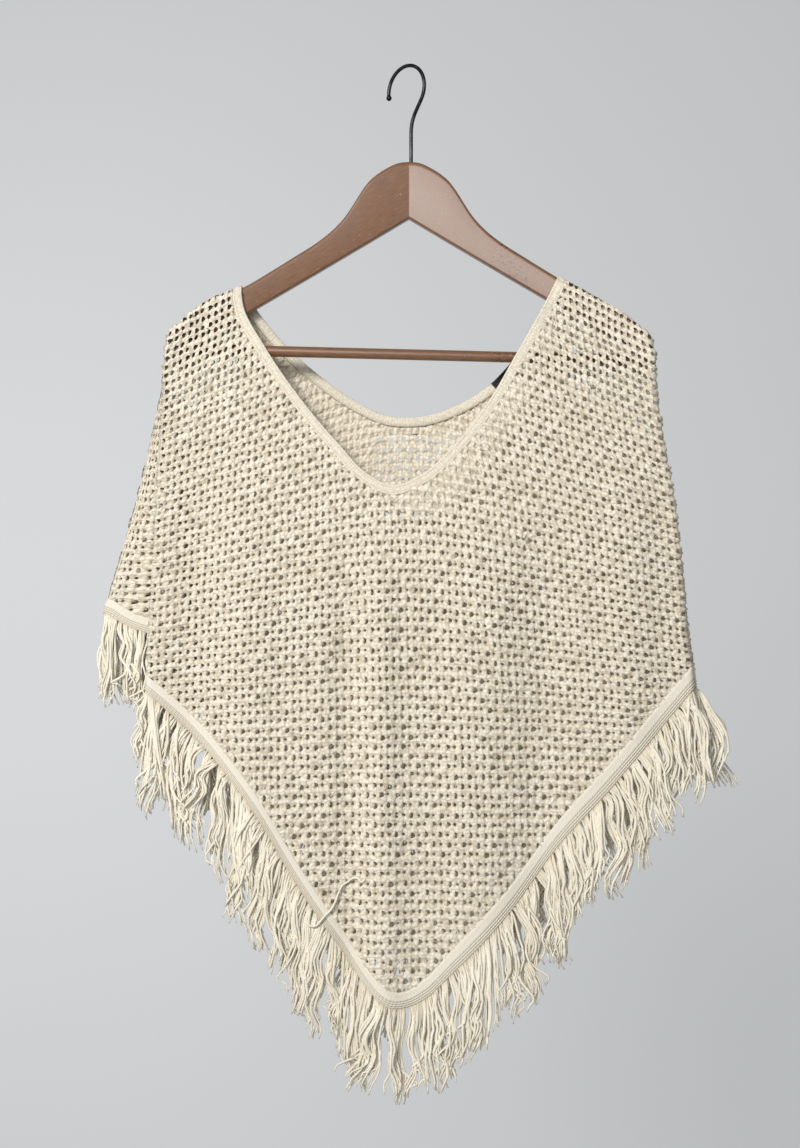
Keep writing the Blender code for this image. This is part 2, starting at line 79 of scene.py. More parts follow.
ARM = [
    # from_joint, top, bottom
    (0.15, -90.9, -144.5),
    (10.0, -92.3, -150.6),
    (20.0, -97.0, -156.8),
    (30.0, -103.5, -163.0),
    (38.0, -110.8, -168.0),
    (45.0, -120.5, -172.3),
    (52.0, -132.0, -176.6),
    (60.0, -144.2, -181.6),
    (70.0, -155.5, -187.8),
    (85.0, -168.3, -197.1),
    (105.0, -181.8, -209.5),
    (130.0, -198.3, -225.0),
    (150.0, -211.0, -237.4),
    (166.0, -219.4, -247.3),
    (184.0, -230.6, -258.5),
    (202.5, -243.8, -264.0),
    (203.0, -244.2, -288.0),
    (214.0, -253.8, -288.0),
    (ARM_LENGTH, -263.0, -280.0),
]
RIDGE = [
    # x, z
    (-221.5, -262.0),
    (-217.0, -254.5),
    (-209.0, -246.5),
    (-201.0, -238.5),
    (-191.0, -230.0),
    (-181.0, -223.4),
    (-164.0, -216.2),
    (-153.0, -211.3),
    (-130.0, -195.0),
    (0.0, -88.0),
    (130.0, -193.0),
    (141.0, -201.9),
    (153.5, -208.9),
    (168.0, -217.2),
    (186.6, -228.7),
    (204.8, -241.7),
    (217.7, -252.4),
    (225.0, -261.0),
]
SECTIONS = [
    # z, then x: fold_left, pleat, side_left, fold_right, side_right,
    # then y: front_side, front_mid, back_side, back_mid
    (-262, -219.3, -219.2, -219.4, 224.6, 224.8, -47.8, -44.0, -30.2, 2.0),
    (-276, -221.4, -219.8, -221.6, 227.5, 227.9, -47.8, -44.8, -28.5, 3.5),
    (-300, -222.6, -219.2, -224.4, 228.6, 229.6, -47.8, -46.0, -26.0, 5.0),
    (-333, -224.0, -217.0, -232.0, 232.2, 233.6, -47.8, -47.5, -21.5, 6.0),
    (-365, -226.4, -214.5, -239.6, 237.2, 239.0, -47.5, -48.5, -18.0, 7.0),
    (-411, -229.2, -211.0, -251.2, 245.6, 248.0, -47.5, -49.5, -15.0, 8.0),
    (-457, -232.0, -208.0, -264.4, 251.0, 254.5, -47.0, -50.5, -13.0, 9.0),
    (-521, -235.8, -204.0, -284.2, 256.6, 261.5, -46.5, -51.5, -12.0, 10.0),
    (-587, -238.8, -201.0, -304.0, 263.6, 269.5, -46.0, -52.0, -12.0, 10.0),
    (-700, -241.0, -199.0, -320.0, 270.0, 277.0, -46.0, -52.5, -12.0, 9.0),
    (-880, -241.0, -199.0, -330.0, 273.0, 280.0, -46.0, -52.5, -12.0, 8.0),
]
NECK_FRONT = [
    # x, z
    (-153.0, -211.3),
    (-150.5, -231.0),
    (-130.0, -270.0),
    (-97.0, -318.0),
    (-64.0, -357.5),
    (-32.0, -389.5),
    (-14.0, -397.5),
    (12.0, -388.5),
    (45.0, -359.0),
    (76.0, -319.0),
    (101.0, -276.0),
    (129.5, -225.0),
    (141.0, -201.9),
]
NECK_BACK = [
    # x, z
    (-153.0, -211.3),
    (-141.5, -229.5),
    (-113.0, -264.0),
    (-83.0, -290.5),
    (-49.5, -314.0),
    (-15.5, -329.0),
    (9.0, -330.0),
    (46.5, -319.5),
    (78.5, -300.0),
    (97.0, -281.0),
    (121.0, -246.0),
    (141.0, -201.9),
]
HEM_FRONT = [
    # x, z, band, lean, fringe
    (-240, -587, 16, -16, 88),
    (-218, -607, 18, -24, 92),
    (-174, -652, 19, -28, 92),
    (-138, -700, 21, -28, 94),
    (-102, -761, 22, -26, 94),
    (-59, -825, 21, -18, 92),
    (-38, -855, 20, -10, 90),
    (-16, -874.5, 17, -3, 86),
    (-4, -875.5, 15.5, 2, 84),
    (18, -867, 20, 8, 88),
    (41, -845, 23, 14, 92),
    (97, -786, 25, 22, 92),
    (142, -726, 24, 24, 92),
    (187, -677, 25, 26, 90),
    (228, -628, 24, 32, 88),
    (264, -585, 22, 40, 86),
]
HEM_PLEAT = [
    # way round the pleat from the fold to the side line, z, band, lean, fringe
    (0.0, -587, 16, -16, 88),
    (0.2, -570, 15.5, -3, 86),
    (0.36, -552, 15, 0, 84),
    (0.56, -549, 15, 0, 84),
    (0.76, -532, 14.5, -4, 84),
    (0.9, -517.5, 14, -7, 84),
    (1.0, -516, 14, -8, 84),
]
HEM_BACK = [
    # x, z, band, lean, fringe
    (-283, -515, 14, -8, 84),
    (-240, -534, 15, -10, 84),
    (-200, -588, 16, -18, 86),
    (-150, -654, 18, -20, 86),
    (-102, -726, 19, -18, 86),
    (-59, -790, 19, -12, 86),
    (-10, -846, 16, 0, 84),
    (41, -812, 20, 10, 86),
    (97, -752, 22, 16, 86),
    (150, -694, 22, 18, 86),
    (200, -640, 22, 22, 84),
    (266, -587, 20, 40, 84),
]
HEM_WRAP = [
    # way round the right side, z, band, lean, fringe
    (0.0, -585, 22, 40, 86),
    (1.0, -587, 20, 40, 84),
]
FOLDS = [
    # x_top, z_top, x_bottom, z_bottom, half_width, towards_front
    (-24, -450, -20, -900, 17, 7.0),
    (-55, -480, -52, -880, 15, -6.0),
    (-196, -400, -196, -640, 26, -6.0),
    (-150, -420, -140, -700, 24, 4.0),
    (70, -430, 62, -860, 34, 5.0),
    (128, -420, 118, -800, 26, -5.0),
    (205, -380, 205, -620, 22, 4.0),
]
BACK_FOLDS = [
    # x_top, z_top, x_bottom, z_bottom, half_width, towards_front
    (-130, -420, -150, -700, 26, -6.0),
    (-40, -430, -30, -840, 28, 5.0),
    (60, -430, 70, -780, 26, -6.0),
    (165, -400, 185, -660, 24, 5.0),
]

# ---- sizes of the knit and the yarn

COLUMNS = 76  # stitch columns across a sheet
PLEAT_COLUMNS = 22
WRAP_COLUMNS = 2
ROW = 8.9  # height of a row of stitches
PER_COLUMN, PER_ROW = 4, 6  # steps of the knit's grid in a stitch
ROW_DROOP = 0.60  # slope of the rows over the shoulders
ROWS_LEVEL = (100.0, 660.0)  # depths between which the rows level out
KNIT_LIFT = 0.15  # millimetres for one unit of the relief table
UNDER_BAND = 3.0  # the knit runs this far under a band
KNIT_TOP, KNIT_END = 80, 890  # depths between which the rows are laid, before they are cut to shape
REPEAT = 2 * PER_COLUMN  # steps of the grid in one repeat of the pattern
SPARE_REPEATS = 40  # added to a repeat's number, so that it is never negative
SHAPE_SPREAD = 997  # turns a drawn number into the choice of an eyelet's shape
STITCH_RELIEF, POINT_RELIEF = 1.5, 1.4  # chance in the relief, for a stitch and for a point
STITCH_SHIFT_X, STITCH_SHIFT_Z, POINT_SHIFT = 0.45, 0.4, 0.15  # chance in the place
FLAT_UNDER = 1.4  # columns that are closer than this, as at a fold, have less relief
UNSHADED_RELIEF, SHADE_RANGE = 7.0, 14.0  # relief above which no shade is painted, and the range of relief below it over which the painted shade grows to full
CLOSE_SHADE = 0.4  # share of the painted shade that is left on the back around the neck, where its knit is closer

# Relief of one repeat: two columns by one row. The next row is shifted by one column. Columns 0
# to 3 are the wide eyelet with a lump at its left, 4 to 7 the small one under a star of yarn.
RELIEF = [
    (10, 8, 9, 12, 14, 10, 8, 11),
    (7, 7, 1, 6, 11, 6, 3, 7),
    (4, 8, -6, -1, 12, 0, -5, 5),
    (5, 7, -9, -3, 13, -4, -7, 7),
    (9, 0, -8, 2, 12, 2, -2, 9),
    (12, 4, 2, 9, 9, 9, 6, 13),
]
# Cells of the repeat's grid that are open. Each eyelet takes one of its kind's shapes.
EYELETS = {
    "plain": (
        ("........", ".oo.....", "..o..oo.", "..o..oo.", ".oo.....", "........"),
        ("........", "..o.....", "..oo.oo.", "..oo.o..", ".oo.....", "........"),
        ("........", ".oo..o..", "..oo.oo.", "..o..o..", ".o......", "........"),
    ),
    "stretched": (
        ("........", ".oo..oo.", ".ooo.oo.", "..oo.oo.", ".oo..o..", "........"),
        ("........", ".oo..o..", ".oo..oo.", ".ooo.oo.", ".oo..o..", "........"),
        ("........", ".oo..oo.", ".ooo.oo.", ".oo..oo.", "..o..o..", "........"),
    ),
    "closed": (("........",) * 6,),
    "behind": (
        ("........", "........", "..o.....", "..o..o..", "........", "........"),
        ("........", "........", "..o..o..", "........", "........", "........"),
    ),
}
# Where the back is a wider net, and the part of it around the neck that is closer than the rest
NET_X, NET_Z = (-32, 52), (-425, -345)
CLOSE_ABOVE = -425
# The knit is stretched this deep over the shoulders, from this far out
STRETCHED_DEPTH, STRETCHED_FROM = 92, 148

# ---- the part's surface, on arrays


def table(rows):
    """A smooth function through a table's rows: first column in, an array of the others out."""
    rows = np.array(sorted(rows), float)
    keys, values = rows[:, 0], rows[:, 1:]
    slopes = np.gradient(values, keys, axis=0)

    def at(key):
        key = np.clip(np.asarray(key, float), keys[0], keys[-1])
        i = np.clip(np.searchsorted(keys, key) - 1, 0, len(keys) - 2)
        step = (keys[i + 1] - keys[i])[..., None]
        s = (key - keys[i])[..., None] / step
        out = (
            values[i] * (1 + 2 * s) * (1 - s) ** 2
            + values[i + 1] * s * s * (3 - 2 * s)
            + slopes[i] * step * s * (1 - s) ** 2
            - slopes[i + 1] * step * s * s * (1 - s)
        )
        return np.moveaxis(out, -1, 0)

    return at


ridge_table, section = table(RIDGE), table(SECTIONS)
hem_front, hem_pleat = table(HEM_FRONT), table(HEM_PLEAT)
hem_back, hem_wrap = table(HEM_BACK), table(HEM_WRAP)


def ridge(x):
    return ridge_table(x)[0]


def mix(a, b, share):
    return a + (b - a) * share


def ease(value, low, high):
    s = np.clip((value - low) / (high - low), 0.0, 1.0)
    return s * s * (3 - 2 * s)


def arm_y(x):
    t = np.minimum(np.abs(x - CENTRE) / ARM_LENGTH, 1.02)
    return STEM[1] - ARM_SWEEP * (0.6 * t + 0.4 * t * t)


def bend(depth):
    left = 1 - np.clip(depth, 0.0, OVER_ARM) / OVER_ARM
    return np.sqrt(1 - left * left)


def turned(distance, radius):
    left = 1 - np.clip(distance, 0.0, radius) / radius
    return 1 - np.sqrt(np.maximum(1 - left * left, 0.0))


def folds(rows, x, z):
    total = 0.0
    for x_top, z_top, x_bottom, z_bottom, half_width, towards_front in rows:
        along = (z - z_top) / (z_bottom - z_top)
        middle = mix(x_top, x_bottom, along)
        fade = ease(along, -0.15, 0.3) * (1 - ease(along, 0.98, 1.2))
        total = total - towards_front * fade * np.exp(-(((x - middle) / half_width) ** 2))
    return total


def sheet_y(x, z, side):
    """y of the front (side -1) or back (side 1) sheet, without its side folds."""
    depth = ridge(x) - z
    at = section(z)
    bow = 1 - np.minimum(np.abs(x) / HALF_SPAN, 1.0) ** 2
    if side < 0:
        hanging = mix(at[5], at[6], bow) + folds(FOLDS, x, z)
    else:
        hanging = mix(at[7], at[8], bow) + folds(BACK_FOLDS, x, z)
    over = arm_y(x) + side * OVER_ARM
    loose = mix(over, hanging, ease(depth, HANG_FROM, HANG_TO))
    top = arm_y(x) + side * RIDGE_SEAM / 2
    return mix(top, loose, bend(depth))


def front_place(t, z):
    at = section(z)
    x = mix(at[0], at[3], t)
    near = np.minimum(x - at[0], at[3] - x)
    return x, sheet_y(x, z, -1) + FOLD * turned(near, FOLD) * bend(ridge(x) - z)


def back_place(t, z):
    at = section(z)
    x = mix(at[2], at[4], t)
    near = np.minimum(x - at[2], at[4] - x)
    return x, sheet_y(x, z, 1) - BACK_FOLD * turned(near, BACK_FOLD) * bend(ridge(x) - z)


def b_spline(points, share):
    """Points on the quadratic B-spline that starts and ends on a polygon's ends."""
    points = np.array([np.stack(np.broadcast_arrays(x, y), -1) for x, y in points])
    spans = len(points) - 2
    at = np.broadcast_to(np.clip(share, 0.0, 1.0) * spans, points.shape[1:-1])
    i = np.minimum(at.astype(int), spans - 1)
    s = (at - i)[..., None]
    a, b, c = (np.take_along_axis(points, (i + n)[None, ..., None], 0)[0] for n in range(3))
    start = np.where(i[..., None] == 0, a, (a + b) / 2)
    end = np.where(i[..., None] == spans - 1, c, (b + c) / 2)
    out = start * (1 - s) ** 2 + b * 2 * s * (1 - s) + end * s * s
    return out[..., 0], out[..., 1]


def pleat_place(share, z):
    at = section(z)
    fold, side = front_place(0.0, z), back_place(0.0, z)
    seam_y = side[1] - SIDE_SEAM
    back, out = mix(fold[1], seam_y, 0.32), mix(fold[1], seam_y, 0.72)
    polygon = [fold, (at[0], back), (at[1], back), (at[1], out), (at[2], out), (at[2], seam_y)]
    return b_spline(polygon, share)


def wrap_place(share, z):
    fold, side = front_place(1.0, z), back_place(1.0, z)
    seam_y = side[1] - SIDE_SEAM
    polygon = [
        fold,
        (fold[0], mix(fold[1], seam_y, 0.4)),
        (side[0], mix(fold[1], seam_y, 0.6)),
        (side[0], seam_y),
    ]
    return b_spline(polygon, share)


def neck_line(rows, count=400):
    """Inner and outer edge of the neckband on one sheet as (count, 2) arrays of x and z."""
    rows = np.array(rows, float)
    ways = np.concatenate([[0.0], np.cumsum(np.hypot(*np.diff(rows, axis=0).T))])
    line = table([(way, x, z) for way, (x, z) in zip(ways, rows)])
    places = np.linspace(0, ways[-1], count)
    inner = line(places).T
    ahead = (line(places + 0.5) - line(places - 0.5)).T
    ahead /= np.linalg.norm(ahead, axis=1)[:, None]
    x, z = inner.T
    depth = np.maximum(ridge(x) - z, 0.0)
    over_x = x + np.copysign(NECK_BAND * OVER_SLOPE, x)
    over = np.stack([over_x, ridge(over_x) - depth], 1)
    square = np.stack([x + NECK_BAND * ahead[:, 1], z - NECK_BAND * ahead[:, 0]], 1)
    return inner, mix(over, square, ease(depth, *OVER_TO_SQUARE)[:, None])


NECK = {-1: neck_line(NECK_FRONT), 1: neck_line(NECK_BACK)}


class Sheet:
    """The front (side -1) or back (side 1) sheet: w counts stitch columns, and z is the height."""

    def __init__(self, side):
        self.side = side
        self.first = -PLEAT_COLUMNS if side < 0 else 0
        self.last = COLUMNS + WRAP_COLUMNS if side < 0 else COLUMNS

    def xy(self, w, z):
        t = np.clip(w / COLUMNS, 0.0, 1.0)
        if self.side > 0:
            return back_place(t, z)
        x, y = front_place(t, z)
        for outside, (px, py) in (
            (w < 0, pleat_place(-w / PLEAT_COLUMNS, z)),
            (w > COLUMNS, wrap_place((w - COLUMNS) / WRAP_COLUMNS, z)),
        ):
            x, y = np.where(outside, px, x), np.where(outside, py, y)
        return x, y

    def point(self, w, z):
        x, y = self.xy(w, z)
        return np.stack(np.broadcast_arrays(x, y, z), -1)

    def normal(self, w, z):
        """Outwards, away from the space inside."""
        across = self.point(w + 0.02, z) - self.point(w - 0.02, z)
        down = self.point(w, z - 0.3) - self.point(w, z + 0.02)
        # The front's outside faces -Y and the back's +Y.
        out = np.cross(across, down) * self.side
        return out / np.maximum(np.linalg.norm(out, axis=-1, keepdims=True), 1e-9)

    def hem(self, w):
        """z of the hem, height of its band, lean and length of its fringe, at each w."""
        z = np.full(np.shape(w), -700.0)
        lookup = hem_front if self.side < 0 else hem_back
        for _ in range(8):
            z = lookup(self.xy(w, z)[0])[0]
        values = lookup(self.xy(w, z)[0])
        if self.side < 0:
            values = np.where(w < 0, hem_pleat(-w / PLEAT_COLUMNS), values)
            values = np.where(w > COLUMNS, hem_wrap((w - COLUMNS) / WRAP_COLUMNS), values)
        return values

    def top(self, w):
        """z of the sheet's upper edge: the ridge over an arm, or the neckband's outer edge."""
        outer_x, outer_z = NECK[self.side][1].T
        z = np.full(np.shape(w), -300.0)
        for _ in range(12):
            x = self.xy(w, z)[0]
            outside = (x < outer_x[0]) | (x > outer_x[-1])
            z = np.where(outside, ridge(x), np.interp(x, outer_x, outer_z) + UNDER_BAND)
            z = np.minimum(z, ridge(x))
        return np.where((w < 0) | (w > COLUMNS), TIP_Z, z)


FRONT, BACK = Sheet(-1), Sheet(1)

# ---- making meshes


def new_object(name, mesh, material, smooth=True):
    obj = bpy.data.objects.new(name, mesh)
    bpy.context.scene.collection.objects.link(obj)
    mesh.materials.append(material)
    mesh.polygons.foreach_set("use_smooth", np.full(len(mesh.polygons), smooth))
    mesh.update()
    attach(obj, "root")
    return obj


def mesh_of(name, points, quads, painted_shade_and_tone=None, uv=None):
    """A mesh of quads, in millimetres. The fourth argument is a value for each point, its painted
    shade (with some random darker tone in the fringe), and uv a place.
    """
    mesh = bpy.data.meshes.new(name)
    mesh.vertices.add(len(points))
    mesh.vertices.foreach_set("co", (np.asarray(points) * MM).astype(np.float32).ravel())
    quads = np.asarray(quads, np.int32)
    mesh.loops.add(quads.size)
    mesh.loops.foreach_set("vertex_index", quads.ravel())
    mesh.polygons.add(len(quads))
    mesh.polygons.foreach_set("loop_start", np.arange(len(quads), dtype=np.int32) * 4)
    if painted_shade_and_tone is not None:
        layer = mesh.attributes.new("painted_shade_and_tone", "FLOAT", "POINT")
        layer.data.foreach_set("value", np.asarray(painted_shade_and_tone, np.float32))
    if uv is not None:
        layer = mesh.uv_layers.new(name="along")
        layer.data.foreach_set("uv", np.asarray(uv, np.float32)[quads.ravel()].ravel())
    mesh.update(calc_edges=True)
    mesh.validate()
    return mesh


def grid_quads(columns, rows, closed_columns=False, closed_rows=False, first=0):
    """Quads of a grid whose point (column, row) has index column * rows + row."""
    i = np.arange(columns if closed_columns else columns - 1)
    j = np.arange(rows if closed_rows else rows - 1)
    i, j = (a.ravel() for a in np.meshgrid(i, j, indexing="ij"))
    i2, j2 = (i + 1) % columns, (j + 1) % rows
    return first + np.stack([i * rows + j, i * rows + j2, i2 * rows + j2, i2 * rows + j], 1)


def rounded_edges(points, quads, rounds):
    """Draws each point on an open edge towards its two neighbours on that edge."""
    ends = np.concatenate([quads[:, [k, (k + 1) % 4]] for k in range(4)])
    ends = np.sort(ends, axis=1)
    pairs, counts = np.unique(ends, axis=0, return_counts=True)
    open_pairs = pairs[counts == 1]
    for _ in range(rounds):
        total = np.zeros_like(points)
        number = np.zeros(len(points))
        for a, b in ((0, 1), (1, 0)):
            np.add.at(total, open_pairs[:, a], points[open_pairs[:, b]])
            np.add.at(number, open_pairs[:, a], 1)
        at = number == 2
        points = points.copy()
        points[at] = points[at] * 0.5 + total[at] / number[at, None] * 0.5
    return points


# ---- the knit


def knit(name, sheet, material):
    """One panel's openwork: a grid of four by six cells a stitch, lifted by the relief table, with
    the eyelets' cells left out."""
    w = np.arange(sheet.first * PER_COLUMN, sheet.last * PER_COLUMN + 1)
    r = np.arange(int(KNIT_TOP / ROW) * PER_ROW, int(KNIT_END / ROW) * PER_ROW + 1)
    wi, ri = np.meshgrid(w, r, indexing="ij")
    wf, depth = wi / PER_COLUMN, ri * ROW / PER_ROW
    level = 1 - np.clip((depth - ROWS_LEVEL[0]) / (ROWS_LEVEL[1] - ROWS_LEVEL[0]), 0, 0.95)
    inside_w = np.clip(wf, 0, COLUMNS)
    z = -depth
    for _ in range(3):
        x = sheet.xy(inside_w, z)[0]
        z = -depth - level * ROW_DROOP * (np.hypot(x, 60.0) - 60.0)
    top, hem = sheet.top(w / PER_COLUMN), sheet.hem(w / PER_COLUMN)
    low = (hem[0] + hem[1] - UNDER_BAND)[:, None]
    high = top[:, None]
    above, below = z > high, z < low
    z = np.clip(z, low, high)
    points = sheet.point(wf, z)
    normal = sheet.normal(wf, z)

    row, sub = ri // PER_ROW, ri % PER_ROW
    shifted = wi + row * PER_COLUMN
    column = shifted % REPEAT
    stitch = (row - row.min(), shifted // REPEAT + SPARE_REPEATS)
    drawn = random.normal(0.0, 1.0, (4, stitch[0].max() + 1, stitch[1].max() + 1))
    relief = np.array(RELIEF, float)[sub, column] + STITCH_RELIEF * drawn[0][stitch]
    uneven = random.normal(0.0, POINT_RELIEF, relief.shape)
    step = np.linalg.norm(np.gradient(points, axis=0), axis=-1)
    flatten = np.clip(step / FLAT_UNDER, 0.0, 1.0)
    inner = np.minimum(np.minimum(high - z, z - low) / 2.0 + 0.35, 1.0)
    lift = (relief + uneven) * KNIT_LIFT * flatten * inner
    points = points + normal * lift[..., None]
    points += random.normal(0.0, POINT_SHIFT, points.shape)
    # Each stitch sits a little off its place.
    whole = np.where(inner < 1, 0.0, flatten)
    points[..., 0] += STITCH_SHIFT_X * drawn[1][stitch] * whole
    points[..., 2] += STITCH_SHIFT_Z * drawn[2][stitch] * whole
    # Painted shade: the lower a point of the relief, the darker its yarn, for the shade in the pits
    # and round the eyelets.
    painted_shade_and_tone = np.clip((UNSHADED_RELIEF - relief) / SHADE_RANGE, 0.0, 1.0)

    quads = grid_quads(*z.shape)
    corner_w, corner_r = wi[:-1, :-1].ravel(), ri[:-1, :-1].ravel()
    cell_row = corner_r // PER_ROW
    along = corner_w + cell_row * PER_COLUMN
    cell = (corner_r % PER_ROW, along % REPEAT)
    pick = drawn[3][cell_row - cell_row.min(), along // REPEAT + SPARE_REPEATS]
    cell_x, cell_z = points[:-1, :-1, 0].ravel(), points[:-1, :-1, 2].ravel()

    def open_cells(kind):
        """Which cells are open, if every eyelet is of this kind."""
        shapes = np.array([[[c == "o" for c in line] for line in shape] for shape in EYELETS[kind]])
        return shapes[(np.abs(pick) * SHAPE_SPREAD).astype(int) % len(shapes), cell[0], cell[1]]

    eyelet = open_cells("plain")
    if sheet.side > 0:
        net = (cell_x > NET_X[0]) & (cell_x < NET_X[1])
        net &= (cell_z > NET_Z[0]) & (cell_z < NET_Z[1])
        eyelet = np.where(cell_z < CLOSE_ABOVE, open_cells("behind"), open_cells("closed"))
        eyelet = np.where(net, open_cells("plain"), eyelet)
        # Less painted shade on the back above CLOSE_ABOVE, around the neck.
        painted_shade_and_tone = painted_shade_and_tone * np.where(points[..., 2] > CLOSE_ABOVE, CLOSE_SHADE, 1.0)
    stretched = (ridge(cell_x) - cell_z < STRETCHED_DEPTH) & (np.abs(cell_x) > STRETCHED_FROM)
    eyelet = np.where(stretched, open_cells("stretched"), eyelet)
    out = (above.ravel()[quads]).all(1) | (below.ravel()[quads]).all(1)
    near_edge = (above | below).ravel()[quads].any(1)
    quads = quads[~out & ~(eyelet & ~near_edge)]
    if sheet.side > 0:
        quads = quads[:, ::-1]
    used, index = np.unique(quads, return_inverse=True)
    quads = index.reshape(quads.shape)
    flat = points.reshape(-1, 3)[used]
    flat = rounded_edges(flat, quads, 2)
    uv = np.stack([wf.ravel(), depth.ravel() / ROW], 1)[used]
    mesh = mesh_of(name, flat, quads, painted_shade_and_tone.ravel()[used], uv)
    return new_object(name, mesh, material)


# ---- bands

HEM_PROFILE = [
    # way down the band, out of its middle surface, painted shade (high in the grooves and round the
    # lower edge)
    (0.0, 0.1, 0.2),
    (0.02, 1.3, 0.1),
    (0.1, 1.75, 0.0),
    (0.22, 1.6, 0.05),
    (0.34, 1.7, 0.0),
    (0.46, 1.6, 0.0),
    (0.53, 1.55, 0.0),
    (0.56, 0.8, 0.75),
    (0.59, 1.75, 0.0),
    (0.655, 1.75, 0.0),
    (0.685, 0.7, 0.9),
    (0.715, 1.75, 0.0),
    (0.785, 1.75, 0.0),
    (0.815, 0.7, 0.95),
    (0.845, 1.7, 0.05),
    (0.9, 1.6, 0.05),
    (0.93, 0.5, 1.0),
    (0.955, 1.0, 0.3),
    (1.0, 0.2, 0.9),
    (0.97, -1.2, 0.4),
    (0.6, -1.5, 0.1),
    (0.3, -1.5, 0.1),
    (0.03, -1.1, 0.2),
]
NECK_PROFILE = [
    # way from the inner to the outer edge, out of the middle surface, painted shade (high in the
    # grooves and round the edges)
    (0.0, 0.0, 0.1),
    (0.03, 0.95, 0.0),
    (0.14, 1.35, 0.0),
    (0.26, 1.0, 0.25),
    (0.36, 1.2, 0.0),
    (0.62, 1.25, 0.0),
    (0.76, 1.0, 0.25),
    (0.88, 1.35, 0.0),
    (0.99, 0.9, 0.1),
    (1.04, 0.0, 0.5),
    (0.97, -1.0, 0.2),
    (0.66, -1.35, 0.0),
    (0.34, -1.35, 0.0),
    (0.05, -1.0, 0.1),
]


def hem_band(name, sheet, material):
    """A strip with a closed profile along the hem: plain above, chains along its lower part."""
    count = int((sheet.last - sheet.first) * 11)
    w = np.linspace(sheet.first, sheet.last, count)
    hem, height, _, _ = sheet.hem(w)
    profile = np.array(HEM_PROFILE)
    z = hem[:, None] + height[:, None] * (1 - profile[None, :, 0])
    wf = np.broadcast_to(w[:, None], z.shape)
    points, normal = sheet.point(wf, z), sheet.normal(wf, z)
    way = np.cumsum(np.r_[0, np.linalg.norm(np.diff(sheet.point(w, hem), axis=0), axis=1)])
    chain = (profile[:, 0] > 0.5) & (profile[:, 1] > 1.5)
    beat = np.sin(way[:, None] * math.tau / 3.3 + profile[None, :, 0] * 14)
    lift = profile[None, :, 1] + np.where(chain[None, :], 0.22 * beat, 0.05 * beat)
    points = points + normal * lift[..., None]
    # Painted shade in the grooves, and between the beads of the chains.
    painted_shade_and_tone = profile[None, :, 2] + np.where(chain[None, :], 0.12 - 0.12 * beat, 0)
    down = profile[None, :, 0] * height[:, None]
    return lofted(name, points, material, way[:, None] / 10, down / 10, painted_shade_and_tone, sheet.side > 0)


def lofted(name, rings, material, along, around, painted_shade_and_tone=0.0, flip=False):
    """A skin through rings (ring, place, 3), closed at both ends. Its UV map is along and around."""
    n, m = rings.shape[:2]
    quads = grid_quads(n, m, closed_rows=True)
    if flip:
        quads = quads[:, ::-1]
    uv = np.stack(np.broadcast_arrays(along, around), -1)
    painted_shade_and_tone = np.broadcast_to(painted_shade_and_tone, (n, m)).ravel()
    skin = mesh_of(name, rings.reshape(-1, 3), quads, painted_shade_and_tone, uv.reshape(-1, 2))
    obj = new_object(name, skin, material)
    mesh = bmesh.new()
    mesh.from_mesh(obj.data)
    mesh.verts.ensure_lookup_table()
    for ring in (range(m), range((n - 1) * m, n * m)):
        mesh.faces.new([mesh.verts[i] for i in ring])
    bmesh.ops.recalc_face_normals(mesh, faces=mesh.faces)
    mesh.to_mesh(obj.data)
    mesh.free()
    obj.data.polygons.foreach_set("use_smooth", np.full(len(obj.data.polygons), True))
    return obj


def neckband(name, material):
    """A ring with a closed profile: along the front's neck edge and back along the back's."""
    strips = []
    for side in (-1, 1):
        inner, outer = NECK[side]
        ways = np.r_[0, np.cumsum(np.hypot(*np.diff(inner, axis=0).T))]
        places = np.arange(0, ways[-1], 1.05)
        if side > 0:
            places = places[::-1]
        edges = [
            np.stack([np.interp(places, ways, line[:, k]) for k in (0, 1)], 1)
            for line in (inner, outer)
        ]
        strips.append((side, *edges, places))
    profile = np.array(NECK_PROFILE)
    rings, painted_shades_and_tones, ways_all, start = [], [], [], 0.0
    for side, inner, outer, places in strips:
        share = profile[None, :, 0]
        x = mix(inner[:, :1], outer[:, :1], share)
        z = np.minimum(mix(inner[:, 1:], outer[:, 1:], share), ridge(x) - 0.001)
        points = np.stack([x, sheet_y(x, z, side), z], -1)
        nudge = 0.2
        dx = np.stack([x + nudge, sheet_y(x + nudge, z, side), z], -1) - points
        dz = np.stack([x, sheet_y(x, z - nudge, side), z - nudge], -1) - points
        normal = np.cross(dz, dx) * side
        normal[..., 1] = np.where(normal[..., 1] * side < 0, -normal[..., 1], normal[..., 1])
        normal /= np.maximum(np.linalg.norm(normal, axis=-1, keepdims=True), 1e-9)
        way = start + (places if side < 0 else places[0] - places)
        start = way[-1]
        beat = np.sin(way * math.tau / 2.6)[:, None]
        middle = ((share > 0.3) & (share < 0.75)) * 0.16 + 0.05
        lift = profile[None, :, 1] + middle * beat * np.sign(profile[None, :, 1])
        rings.append(points + normal * lift[..., None])
        # Painted shade in the grooves and between the rib's beats.
        painted_shades_and_tones.append(profile[None, :, 2] + 0.12 - 0.12 * beat)
        ways_all.append(way)
    points = np.concatenate(rings)
    painted_shade_and_tone = np.concatenate(painted_shades_and_tones)
    way = np.concatenate(ways_all)
    uv = np.stack(np.broadcast_arrays(way[:, None] / 10, profile[None, :, 0] * NECK_BAND / 10), -1)
    quads = grid_quads(*points.shape[:2], closed_columns=True, closed_rows=True)
    mesh = mesh_of(name, points.reshape(-1, 3), quads, painted_shade_and_tone.ravel(), uv.reshape(-1, 2))
    return new_object(name, mesh, material)


# ---- yarn


SIDES, STATIONS = 4, 15  # of a strand's tube
STRAND = (1.0, 1.6)  # least and greatest radius of a strand
LEAVE = 3.0  # how quickly a strand takes up its lean
CURLED = 0.2  # share of the strands with a curl of their own


